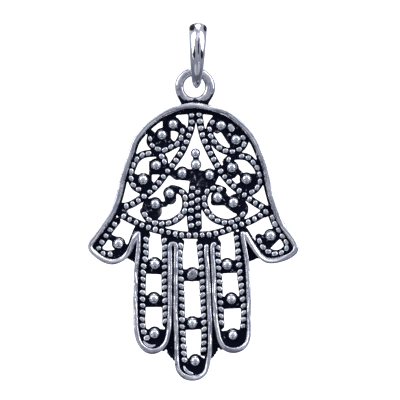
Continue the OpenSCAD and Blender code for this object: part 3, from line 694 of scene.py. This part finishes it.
def silver(name, bright, cloud, cut, shine, streaks=0.0, grain=0.4, dents=0.5, specks=0.0):
    """Oxidised silver: cut says how open a place must be to have been rubbed bright,
    shine is the range of roughness, streaks the share of drawn-out marks along the flow."""
    mat, tree, bsdf = nodes_of(name)
    place = put(tree, "TexCoord").outputs["Object"]
    wear_and_painted_light = put(tree, "Attribute", attribute_name="wear_and_painted_light").outputs["Fac"]
    flow = put(tree, "Attribute", attribute_name="flow").outputs["Vector"]

    # where the black is rubbed off: open places, with patchy and fine edges; the wear attribute
    # also brings the rims' painted highlights and the bail's painted shade
    patch = noise(tree, place, PATCH_SCALE, 4.0, 0.6, 0.4)
    fine = noise(tree, place, FINE_SCALE, 3.0, 0.6)
    rubbed = wear_and_painted_light
    for value, share in ((patch, PATCH_SHARE), (fine, FINE_SHARE)):
        uneven = calc(tree, "MULTIPLY", calc(tree, "SUBTRACT", value, 0.5), share)
        rubbed = calc(tree, "ADD", rubbed, uneven)
    if specks:
        spots = noise(tree, place, SPOT_SCALE, 2.0, 0.5)
        rubbed = calc(tree, "ADD", rubbed, spread(tree, spots, (0.64, 0.70), (0.0, specks)))
    rubbed = spread(tree, rubbed, cut, (0.0, 1.0), "SMOOTHSTEP")

    # the bare metal: cloudy, and on the bands drawn out with dark scratches
    clouds = noise(tree, place, CLOUD_SCALE, 3.0, 0.5, 0.6)
    if streaks:
        along = noise(tree, stretched(tree, flow, STREAK_SCALE), 1.0, 4.0, 0.6, 0.3)
        clouds = calc(
            tree, "ADD",
            calc(tree, "MULTIPLY", clouds, 1 - streaks), calc(tree, "MULTIPLY", along, streaks),
        )
        thin = stretched(tree, flow, SCRATCH_SCALE, (7.0, 3.0, 1.0))
        scratch = spread(tree, noise(tree, thin, 1.0, 2.0, 0.5, 0.2), (0.36, 0.46), (-0.16, 0.0))
        clouds = calc(tree, "ADD", clouds, scratch)
    metal = ramp(tree, clouds, [(0.40, cloud), (0.57, bright)])
    base = put(tree, "Mix", {0: rubbed, 6: (*OXIDE, 1), 7: metal}, data_type="RGBA")
    tree.links.new(base.outputs[2], bsdf.inputs["Base Color"])
    bsdf.inputs["Metallic"].default_value = 1.0

    # black places are duller than rubbed ones
    gloss = spread(tree, fine, (0.3, 0.75), shine)
    dull = calc(tree, "MULTIPLY", calc(tree, "SUBTRACT", 1.0, rubbed), BLACK_DULLNESS)
    tree.links.new(calc(tree, "ADD", gloss, dull), bsdf.inputs["Roughness"])

    soft = bump(tree, noise(tree, place, DENT_SCALE, 2.0, 0.5), dents, DENT_DEPTH * MM)
    tree.links.new(bump(tree, fine, grain, GRAIN_DEPTH * MM, soft), bsdf.inputs["Normal"])
    return mat


mat_rim = silver(
    "silver_rim", WHITE, (0.54, 0.56, 0.66), cut=(0.12, 0.42), shine=(0.14, 0.28),
    streaks=0.85, grain=0.2, dents=1.0,
)
mat_bead = silver(
    "silver_bead", PALE, LAVENDER, cut=(0.30, 0.62), shine=(0.12, 0.22), grain=0.2, dents=0.8
)
mat_ball = silver(
    "silver_ball", PALE, LAVENDER, cut=(0.30, 0.60), shine=(0.08, 0.16), grain=0.15, dents=0.5
)
mat_ground = silver(
    "silver_ground", LAVENDER, (0.35, 0.36, 0.45), cut=(0.80, 1.15), shine=(0.28, 0.45),
    grain=0.8, specks=0.45,
)
mat_ring = silver(
    "silver_ring", WHITE, (0.46, 0.48, 0.57), cut=(0.25, 0.55), shine=(0.10, 0.20),
    streaks=0.6, grain=0.15, dents=0.9,
)
mat_solder = silver(
    "silver_solder", LAVENDER, (0.2, 0.2, 0.26), cut=(0.85, 1.2), shine=(0.25, 0.4),
    grain=0.9, specks=0.7,
)
mat_bail = silver(
    "silver_bail", (0.98, 0.99, 1.0), (0.56, 0.58, 0.66), cut=(0.2, 0.5), shine=(0.06, 0.15),
    streaks=0.85, grain=0.1, dents=0.6,
)
mat_worn = silver(
    "silver_worn", (0.8, 0.82, 0.88), (0.16, 0.17, 0.21), cut=(0.2, 0.45), shine=(0.2, 0.3),
    streaks=1.0, grain=0.3, dents=0.3,
)


# Pierced ground
def ground_piece():
    """A slab over the region: front, back, and a wall along the region's edge."""
    f = region[::GROUND_EVERY, ::GROUND_EVERY]
    gx, gy = GX[::GROUND_EVERY], GY[::GROUND_EVERY]
    f = np.where(np.abs(f) < 1e-5, 1e-5, f)
    inside = f < 0
    lump = np.random.default_rng(3).normal(0, 1, f.shape)
    for _ in range(2):
        lump = sum([np.roll(lump, by, axis) for by in (1, -1) for axis in (0, 1)], lump) / 5
    cells = list(zip(*np.nonzero(inside)))
    node = {cell: k for k, cell in enumerate(cells)}
    pts = [(gx[i], gy[j]) for j, i in cells]
    depth = [-f[cell] for cell in cells]
    lumps = [lump[cell] for cell in cells]
    crossing = {}

    def edge(a, b):
        """The point where the region's edge crosses the line between two cells."""
        key = (a, b) if a < b else (b, a)
        if key not in crossing:
            (ja, ia), (jb, ib) = key
            t = f[ja, ia] / (f[ja, ia] - f[jb, ib])
            t = min(0.97, max(0.03, t))
            pts.append((gx[ia] + (gx[ib] - gx[ia]) * t, gy[ja] + (gy[jb] - gy[ja]) * t))
            depth.append(0.0)
            lumps.append(0.0)
            crossing[key] = len(pts) - 1
        return crossing[key]

    faces, cut_edges = [], []
    some = inside[:-1, :-1] | inside[:-1, 1:] | inside[1:, :-1] | inside[1:, 1:]
    for j, i in zip(*np.nonzero(some)):
        corners = [(j, i), (j, i + 1), (j + 1, i + 1), (j + 1, i)]
        loop = []
        for a, b in zip(corners, corners[1:] + corners[:1]):
            if inside[a]:
                loop.append((node[a], False))
            if inside[a] != inside[b]:
                loop.append((edge(a, b), True))
        faces.append(tuple(point for point, _ in loop))
        for (a, a_cut), (b, b_cut) in zip(loop, loop[1:] + loop[:1]):
            if a_cut and b_cut:
                cut_edges.append((a, b))
    n = len(pts)
    pts, depth, lumps = np.array(pts), np.array(depth), np.array(lumps)
    out = np.clip(EDGE_ROLL - depth, 0, None)
    fall = EDGE_ROLL - np.sqrt(np.clip(EDGE_ROLL**2 - out**2, 0, None))
    top = GROUND_T - fall + lumps * GROUND_LUMPS
    low = GROUND_BACK + fall * BACK_ROLL
    v = np.vstack([np.column_stack([pts, top]), np.column_stack([pts, low])])
    sides = [(b, a, a + n, b + n) for a, b in cut_edges]
    return v, faces + [tuple(i + n for i in face[::-1]) for face in faces] + sides


v, f = ground_piece()
# the back was wiped clean, so only its pits stayed dark
wiped = np.where(v[:, 2] < GROUND_T / 3, 1.0, 0.0)
ground = hand_piece("ground", v, f, mat_ground, sharp=50, floor=wiped)
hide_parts("hand")


# Rims: flattened bands with a soft crown, a little uneven along their run

# darker marks on the rims, in mm on the hand's sheet: x, y, half width, half height, depth;
# a depth below 0 is a painted highlight, where a rim is lightened to stand for a reflection
RIM_MARKS_AND_HIGHLIGHTS = [
    (-3.25, -1.25, 0.50, 0.30, 0.45), (-5.2, -2.6, 0.35, 0.30, 0.4),
    (-1.9, -26.2, 0.14, 0.12, 1.2), (-2.75, -22.6, 0.16, 0.9, 0.6),
    (4.3, -24.3, 0.6, 0.14, 0.5), (0.9, -27.1, 0.4, 0.3, 0.35),
    (-3.1, -24.2, 0.35, 0.25, 0.6), (5.0, -1.6, 0.4, 0.25, 0.35),
    (7.55, -9.6, 0.25, 0.7, 0.4), (1.55, -22.5, 0.1, 1.0, 0.5),
    (-2.0, -17.5, 0.1, 1.5, 0.45), (5.3, -21.0, 0.1, 1.2, 0.4),
    (-3.05, -18.0, 0.17, 4.2, 0.42), (-2.78, -18.0, 0.09, 4.4, 0.45),
    (1.62, -18.0, 0.11, 4.6, 0.5), (2.16, -18.0, 0.1, 4.4, 0.5),
    (-7.35, -9.1, 0.4, 1.5, -0.7), (7.9, -9.3, 0.3, 0.9, -0.5),
]
# the crown's section: place across the band, height when even, height when rubbed on one side
CROWN_AT = [-1, -0.985, -0.93, -0.82, -0.64, -0.4, -0.1, 0.15, 0.4, 0.62, 0.8, 0.92, 0.98, 1]
CROWN_EVEN = [0, 0.36, 0.58, 0.73, 0.845, 0.955, 0.998, 0.995, 0.955, 0.86, 0.745, 0.6, 0.38, 0]
CROWN_RUBBED = [0, 0.42, 0.66, 0.82, 0.94, 1.0, 0.985, 0.93, 0.80, 0.66, 0.53, 0.38, 0.2, 0]


def soft_ovals(v, across, up, marks, power):
    """Sum of soft oval marks at the points; across and up are the axes the marks lie in."""
    total = np.zeros(len(v))
    for x, y, half_w, half_h, deep in marks:
        dx, dy = v[:, across] - x, v[:, up] - y
        total += deep * np.exp(-(((dx / half_w) ** 2 + (dy / half_h) ** 2) ** power))
    return total


def rim_piece(name, key, seed, inner):
    """A rim whose rubbed side is its inner one; inner is +1 or -1 across the path."""
    (pts, dirs, length), w = RIM_PATHS[key]
    n = len(pts)
    shoulder = RIM_T - w * RIM_CROWN
    at, even, rubbed = inner * np.array(CROWN_AT), np.array(CROWN_EVEN), np.array(CROWN_RUBBED)
    if inner < 0:
        at, even, rubbed = at[::-1], even[::-1], rubbed[::-1]
    share = np.where(np.abs(pts[:, 0]) > BETWEEN_X, RUBBED_OUTSIDE, RUBBED_BETWEEN)
    share = np.clip(share + RUBBED_WAVE * wobble(n, 20, seed + 3), 0, 1)
    wide = 1 + RIM_WAVE * wobble(n, 7, seed)
    tall = RIM_RISE * wobble(n, 9, seed + 1)
    tilt = w * RIM_TILT * wobble(n, 14, seed + 2)
    side = np.column_stack([-dirs[:, 1], dirs[:, 0]])
    # the fingers' ends swell to one side
    swell = TIP_SWELL * dirs[:, 0] ** 2 * (pts[:, 1] < TIP_Y)
    wide = wide + swell
    pts = pts + side * (swell * w / 2)[:, None]
    run = np.arange(n) * length / n
    to_end = np.minimum(np.arange(n), np.arange(n)[::-1]) * length / n
    # 1 along the run, less where an end is rounded
    full = np.sqrt(np.clip(1 - (1 - np.clip(to_end / (w * RIM_END), 0, 1)) ** 2, 0.02, 1))
    left_flank = [(-0.93, 0.0), (-1, 0.05), (-1, shoulder * 0.45), (-1, shoulder * 0.8)]
    right_flank = [(-a, h) for a, h in reversed(left_flank)]
    v, flow = [], []
    for i in range(n):
        lift = even + (rubbed - even) * share[i]
        crown = [(a, shoulder + b * w * RIM_CROWN) for a, b in zip(at, lift)]
        for across, h in left_flank + crown + right_flank:
            x, y = pts[i] + side[i] * (across * w / 2 * wide[i] * full[i])
            up = min(1.0, h / shoulder)
            z = h * (1 - RIM_END_DROP * (1 - full[i]) * up) + up * (tall[i] + tilt[i] * across)
            v.append((x, y, z))
            flow.append((run[i], across * w / 2, h))
    v = np.array(v)
    faces = flipped(tube_faces(n, len(v) // n))
    # darker marks on the rims, and painted highlights where a mark's depth is below 0
    rim_marks_and_highlights = soft_ovals(v, 0, 1, RIM_MARKS_AND_HIGHLIGHTS, 1.5)
    # the back was wiped clean
    wiped = np.where(v[:, 2] < RIM_BACK, RIM_BACK_WEAR, 0.0)
    return hand_piece(name, v, faces, mat_rim, flow=flow, sharp=60, marks_and_highlights=rim_marks_and_highlights, floor=wiped)


rim_piece("rim_outer", "outer", 11, -1)
rim_piece("rim_fingers", "fingers", 21, 1)
rim_piece("rim_right_finger", "right", 31, 1)


# Pearls of the palm and the thumbs
def lumpy(unit, size, amount, r):
    """A ball's points pushed in and out by a few smooth waves."""
    ways = r.normal(0, 1.6, (4, 3))
    phases = r.uniform(0, 6.28, 4)
    wave = sum(np.sin(unit @ way * 1.7 + phase) for way, phase in zip(ways, phases)) / 4
    return unit * (1 + amount * wave)[:, None] * size


pearl, pearl_faces = ball_net(*PEARL_NET)
cushion = pearl / (np.abs(pearl) ** PEARL_SQUARE).sum(axis=1)[:, None] ** (1 / PEARL_SQUARE)


def grain(place, direction, size, slant, rise):
    """One oval grain on the ground: size is its half extent along the wire, across it and up."""
    u = lumpy(cushion, 1.0, PEARL_LUMPS, rng)
    u = pressed(u, rng.uniform(*GRAIN_TOP), GRAIN_KEEP)
    u = u * np.array(size) * (1 + rng.normal(0, GRAIN_SIZE_SPREAD))
    u = turned(turned(u, math.cos(slant), math.sin(slant)), *direction)
    x, y = np.array(place) + rng.normal(0, GRAIN_PLACE_SPREAD, 2)
    return u + np.array([x, y, GROUND_T + rise]), pearl_faces


parts = []
for place, direction, scroll in beads:
    size, lean, lean_spread = SCROLL_GRAIN if scroll else WIRE_GRAIN
    slant = math.radians(rng.normal(lean, lean_spread))
    parts.append(grain(place, direction, size, slant, BEAD_RISE))
# a leaf-shaped grain and a dot beside the right scroll
leaf, dot = palm([(36.4, 25.4), (34.6, 32.4)])
for place, size in ((leaf, (0.44, 0.33, 0.24)), (dot, (0.16, 0.14, 0.24))):
    parts.append(grain(place, (0.42, -0.91), size, 0.1, BEAD_RISE))
hand_piece("pearls", *join(parts), mat_bead)


# Rope-like rows inside the fingers: slanted grains on a thin core
def round_wire(pts, dirs, radii, cols, height):
    """A round wire along a path, its middle this high over the back."""
    net = []
    for (x, y), (dx, dy), r in zip(pts, dirs, radii):
        for c in range(cols):
            a = 2 * math.pi * c / cols
            across = math.cos(a)
            net.append((x - dy * across * r, y + dx * across * r, height + math.sin(a) * r))
    return np.array(net), tube_faces(len(pts), cols)


parts = []
for k, wire in enumerate(WIRES_FINGER):
    lean = math.radians(ROPE_SLANT if k % 2 else -ROPE_SLANT)
    for place, direction in bead_row(wire, ROPE_PITCH):
        if clear_of_balls(place, ROPE_LAP):
            slant = lean + rng.normal(0, ROPE_SLANT_SPREAD)
            parts.append(grain(place, direction, ROPE_GRAIN, slant, BEAD_RISE + ROPE_LIFT))
hand_piece("rope_grains", *join(parts), mat_bead)

parts = []
for wire in WIRES_FINGER:
    pts, dirs, _ = smooth(wire, ROPE_CORE_STEP)
    radii = [ROPE_CORE_R] * len(pts)
    parts.append(round_wire(pts, dirs, radii, ROPE_CORE_COLS, GROUND_T + ROPE_CORE_RISE))
hand_piece("rope_cores", *join(parts), mat_ground)


# Bright tails of the finger wires, bent round inside two of the finger ends
def tail(points):
    """A round wire that thins towards both ends."""
    pts, dirs, _ = smooth(points, TAIL_STEP)
    n = len(pts)
    radii = [TAIL_R * math.sin(math.pi * (0.06 + 0.88 * i / (n - 1))) ** 0.6 for i in range(n)]
    return round_wire(pts, dirs, radii, TAIL_COLS, GROUND_T + TAIL_RISE)


tails = [
    tail(outer([(-51.8, 238.6), (-48.4, 242.0), (-44, 243.6), (-39.6, 243.0)])),
    tail(middle([(-11.4, 263.6), (-8.9, 267.8), (-5.6, 270.4), (-1.6, 271.4)])),
]
hand_piece("wire_tails", *join(tails), mat_bead, floor=0.7)


# Large balls
drop, drop_faces = ball_net(*BALL_NET)
WORN = len(BALLS_PALM) + len(BALLS_OUTER)
parts = []
for (x, y), size, _ in balls[:WORN] + balls[WORN + 1 :]:
    u = lumpy(drop, size / 2, BALL_LUMPS, rng)
    u = pressed(u, size / 2 * rng.uniform(*BALL_TOP), BALL_KEEP)
    parts.append((u + np.array([x, y, GROUND_T + BALL_RISE]), drop_faces))
hand_piece("balls", *join(parts), mat_ball)

# one ball of the middle finger is rubbed to a scratched oval facet
(x, y), size, _ = balls[WORN]
u = pressed(drop * np.array(WORN_SHAPE) * size, WORN_TOP * size, WORN_KEEP)
u[:, 2] -= WORN_TILT * u[:, 1]
flow = u @ np.diag([1.0, 7.0, 1.0])
slope = math.radians(WORN_TURN)
u = turned(u, math.cos(slope), math.sin(slope)) + np.array([x, y, GROUND_T + BALL_RISE])
hand_piece("worn_ball", u, drop_faces, mat_worn, flow=flow)


# Hanging ring
def ring_piece():
    """A hammered band round an off-centre hole, rubbed flat on its faces."""
    rows, cols = RING_NET
    centre = np.array([RING_HOLE_X, RING_HOLE_Y])
    edge = RING_HAMMER * wobble(rows, 7, 5)
    hole = HOLE_HAMMER * RING_HAMMER * wobble(rows, 9, 6)
    face = RING_HAMMER * wobble(rows, 8, 9)
    v, flow = [], []
    for i in range(rows):
        a = 2 * math.pi * i / rows
        out = np.array([math.sin(a), math.cos(a)])
        # the net closes at the top and the bottom is soldered, so the waves fade out there
        from_low, from_top = abs(a - math.pi), min(a, 2 * math.pi - a)
        fade = min(1.0, from_low / RING_FADE_LOW) * min(1.0, from_top / RING_FADE_TOP)
        off = centre @ out
        reach = math.sqrt(off**2 - centre @ centre + RING_R**2) - off + edge[i] * fade
        near = RING_HOLE / 2 + hole[i] * fade
        mid, half = (near + reach) / 2, (reach - near) / 2
        for k in range(cols):
            b = 2 * math.pi * k / cols
            c, s = math.cos(b), math.sin(b)
            square = 1.0 / (abs(c) ** RING_SQUARE + abs(s) ** RING_SQUARE) ** (1 / RING_SQUARE)
            x, y = centre + out * (mid + half * c * square)
            thick = RING_WIRE / 2 - RING_HAMMER + face[i] * fade * (s > 0)
            v.append((x, y + RING_RISE, BACK_Y + thick * s * square))
            flow.append((mid * a, half * b, 0))
    return np.array(v), flipped(grid_faces(rows, cols, close_rows=True)), flow


v, f, flow = ring_piece()
# black where it stands in the solder, and in a mark between the solder and the hole
wear_and_painted_light = np.clip((v[:, 1] - 0.02) / 0.2, 0, 1)
wear_and_painted_light -= soft_ovals(v, 0, 1, [(0.03, 0.36, 0.09, 0.14, 0.9)], 1)
make("hanging_ring", hand_to_world(v), f, mat_ring, "hand", wear_and_painted_light, flow)


# Solder under the ring
def solder_piece():
    """A ragged black fillet that creeps up both sides of the ring."""
    hole_low = RING_RISE + RING_HOLE_Y - RING_HOLE / 2
    outline = [
        (-1.3, -0.3), (-0.8, -0.2), (0, -0.1), (0.8, -0.2), (1.25, -0.3), (1.42, -0.02),
        (1.62, 0.32), (1.84, 0.80), (1.72, 0.66), (1.5, 0.36), (1.34, 0.26), (1.2, 0.13),
        (1.0, 0.2), (0.86, 0.12), (0.66, 0.24), (0.5, 0.15), (0.34, 0.17), (0.2, hole_low - 0.17),
        (0.04, hole_low - 0.22), (-0.12, hole_low - 0.15), (-0.3, 0.17), (-0.5, 0.22),
        (-0.7, 0.15), (-0.9, 0.26), (-1.1, 0.16), (-1.26, 0.28), (-1.46, 0.42), (-1.7, 0.66),
        (-1.62, 0.34), (-1.46, 0.0),
    ]
    pts, _, _ = smooth(outline, SOLDER_STEP, closed=True)
    mid = pts.mean(axis=0)
    # share of the outline's size, and height over the back in mm
    levels = [(0.97, 0.06), (1.0, 0.2), (1.0, 0.7), (0.99, 0.93), (0.97, 0.99)]
    v = []
    for grow, z in levels:
        for x, y in mid + (pts - mid) * grow:
            v.append((x, y, z + SOLDER_LUMPS * math.sin(5 * x + 9 * y) * (z > 0.5)))
    return np.array(v), tube_faces(len(levels), len(pts))


v, f = solder_piece()
wear_and_painted_light = np.full(len(v), SOLDER_WEAR)
make("solder", hand_to_world(v), f, mat_solder, "hand", wear_and_painted_light, v)


# Bail: one tapered strap bent round to a loop, crowned outside and flat inside

# right half of the section: share of half the width, share of the thickness
BAIL_CROWN = [
    (1, 0.16), (1, 0.22), (0.993, 0.32), (0.97, 0.44), (0.93, 0.54), (0.87, 0.625), (0.78, 0.70),
    (0.68, 0.768), (0.58, 0.822), (0.48, 0.87), (0.38, 0.91), (0.28, 0.945), (0.18, 0.975),
    (0.09, 0.995),
]
BAIL_INSIDE = [(0.98, 0.08), (0.92, 0.02), (0.78, 0), (0.4, 0)]
# dark marks on the bail, front and back alike: x, z, half width, half height, depth; painted shade
# where its highlights break off and between them, and darker patches beside the top and at the tip
BAIL_SHADE_AND_MARKS = [
    (-0.62, 0.34, 0.34, 0.48, 1.3), (0.74, 0.22, 0.25, 0.46, 1.2),
    (-0.38, -2.30, 0.12, 0.55, 1.1), (0.08, -1.20, 0.15, 0.90, 0.72),
    (0.06, -2.1, 0.08, 0.6, 0.9), (0.37, -2.35, 0.12, 0.55, 1.1),
    (-0.44, -2.75, 0.32, 0.5, 0.38), (0.44, -2.75, 0.32, 0.5, 0.38),
    (-0.05, -5.3, 0.2, 0.3, 0.74), (-0.66, -2.4, 0.13, 0.42, 0.42),
    (0.70, -2.35, 0.13, 0.42, 0.42),
]


def bail_inside(a):
    """The inside of the loop at this angle from its top: depth and height."""
    taper = 1 - BAIL_TAPER * (1 - math.cos(a)) / 2
    return np.array([BAIL_IN_D / 2 * math.sin(a) * taper, -BAIL_IN_H / 2 * (1 - math.cos(a))])


def bail_piece():
    rows = BAIL_ROWS
    left = [(-x, t) for x, t in BAIL_CROWN[::-1] + BAIL_INSIDE]
    section = BAIL_CROWN + [(0, 1)] + left + [(0, 0)] + BAIL_INSIDE[::-1]
    low, high = -BAIL_IN_H - BAIL_T_LOW / 2, BAIL_T_TOP / 2
    lean = math.radians(BAIL_LEAN)
    c, s = math.cos(lean), math.sin(lean)
    dent = BAIL_DENT * wobble(rows, 9, 8)
    v, flow, run = [], [], 0.0
    for i in range(rows):
        a = 2 * math.pi * i / rows
        inside, along = bail_inside(a), bail_inside(a + 0.01) - bail_inside(a - 0.01)
        along /= np.linalg.norm(along)
        out = np.array([-along[1], along[0]])
        thick = BAIL_T_TOP + (BAIL_T_LOW - BAIL_T_TOP) * (1 - math.cos(a)) / 2
        height = inside[1] + out[1] * thick / 2
        rise = math.sqrt(max(0.0, height - low) / (high - low))
        wide = BAIL_W_LOW + (BAIL_W_TOP - BAIL_W_LOW) * rise
        run += np.linalg.norm(inside - bail_inside(a - 2 * math.pi / rows))
        for side, depth in section:
            x = side * wide / 2
            y, z = inside + out * (depth * thick + (dent[i] if depth > 0.5 else 0))
            v.append((x * c + z * s, y, -x * s + z * c))
            flow.append((run, x, depth))
    return np.array(v), grid_faces(rows, len(section), close_rows=True), flow


v, f, flow = bail_piece()
# the bail's dark marks: painted shade where its highlights break off and between them, darker
# patches beside the top and at the tip
wear_and_painted_light = np.clip(1 - soft_ovals(v, 0, 2, BAIL_SHADE_AND_MARKS, 1.6), 0, 1)
bail = make("bail_detail", v, f, mat_bail, "bail", wear_and_painted_light, flow)
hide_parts("bail")


# Stage, light and camera
def stage_piece(name, v, faces, material, colour, glow):
    """A plain piece of the stage, with a glow of its own."""
    mat, _, bsdf = nodes_of(material)
    bsdf.inputs["Base Color"].default_value = (*colour, 1)
    bsdf.inputs["Roughness"].default_value = 0.9
    bsdf.inputs["Emission Color"].default_value = (*colour, 1)
    bsdf.inputs["Emission Strength"].default_value = glow
    obj = new_object(name, new_mesh(name, v, faces, mat))
    return obj


def lamp(name, place, size, power, colour=WHITE):
    """A soft oval light that looks at the middle of the pendant."""
    data = bpy.data.lights.new(name, "AREA")
    data.shape = "ELLIPSE"
    data.size, data.size_y = size
    data.energy = power
    data.color = colour
    obj = new_object(name, data)
    obj.location = place
    d = np.array(CENTRE) - np.array(place)
    d /= np.linalg.norm(d)
    obj.rotation_euler = Vector(d).to_track_quat("-Z", "Y").to_euler()


corners = [(-1, -1), (1, -1), (1, 1), (-1, 1)]
corners = [(x * FLOOR_HALF, y * FLOOR_HALF, FLOOR_Z) for x, y in corners]
floor = stage_piece("floor", corners, [(0, 1, 2, 3)], "stage_floor", (0.93, 0.93, 0.94), 0.75)
floor.visible_glossy = False
v, f = ball_net(*SHELL_NET)
shell = stage_piece("backdrop", (v * SHELL_R).tolist(), flipped(f), "stage_white", WHITE, 1.0)
shell.visible_diffuse = False
shell.visible_glossy = False
shell.visible_shadow = False

lamp("soft_left", (-0.39, -0.20, 0.21), (0.235, 0.60), 0.92, COOL)
lamp("soft_right", (0.39, -0.20, 0.21), (0.235, 0.60), 1.17, COOL)
lamp("soft_back", (0.0, 0.13, 0.44), (0.30, 0.40), 0.90)
lamp("low_left", (-0.24, -0.26, -0.24), (0.36, 0.24), 0.09, COOL)
lamp("low_right", (0.24, -0.26, -0.24), (0.36, 0.24), 0.09, COOL)
lamp("soft_top", (0.0, -0.28, 0.36), (0.50, 0.26), 0.20)

# a studio that is darker below than above
world = bpy.data.worlds.new("studio")
bpy.context.scene.world = world
world.use_nodes = True
tree = world.node_tree
tree.nodes.clear()
direction = put(tree, "TexCoord").outputs["Generated"]
up = put(tree, "SeparateXYZ", {"Vector": direction}).outputs["Z"]
sky = ramp(tree, spread(tree, up, (-1.0, 1.0), (0.0, 1.0)), [
    (0.0, (0.10, 0.105, 0.13)),
    (0.30, (0.20, 0.21, 0.255)),
    (0.46, (0.345, 0.36, 0.42)),
    (0.60, (0.45, 0.465, 0.53)),
    (1.0, (0.56, 0.575, 0.64)),
])
back = put(tree, "Background", {"Color": sky, "Strength": 1.0})
put(tree, "OutputWorld", {"Surface": back.outputs["Background"]})

bpy.context.scene.view_settings.view_transform = "Standard"

cam_data = bpy.data.cameras.new("camera")
cam_data.lens = 360
cam_data.sensor_width = 36
cam_data.clip_start = 0.01
cam = new_object("camera", cam_data)
cam.location = (CENTRE[0], CAMERA_Y, CENTRE[2])
cam.rotation_euler = (math.radians(90), 0, 0)
bpy.context.scene.camera = cam
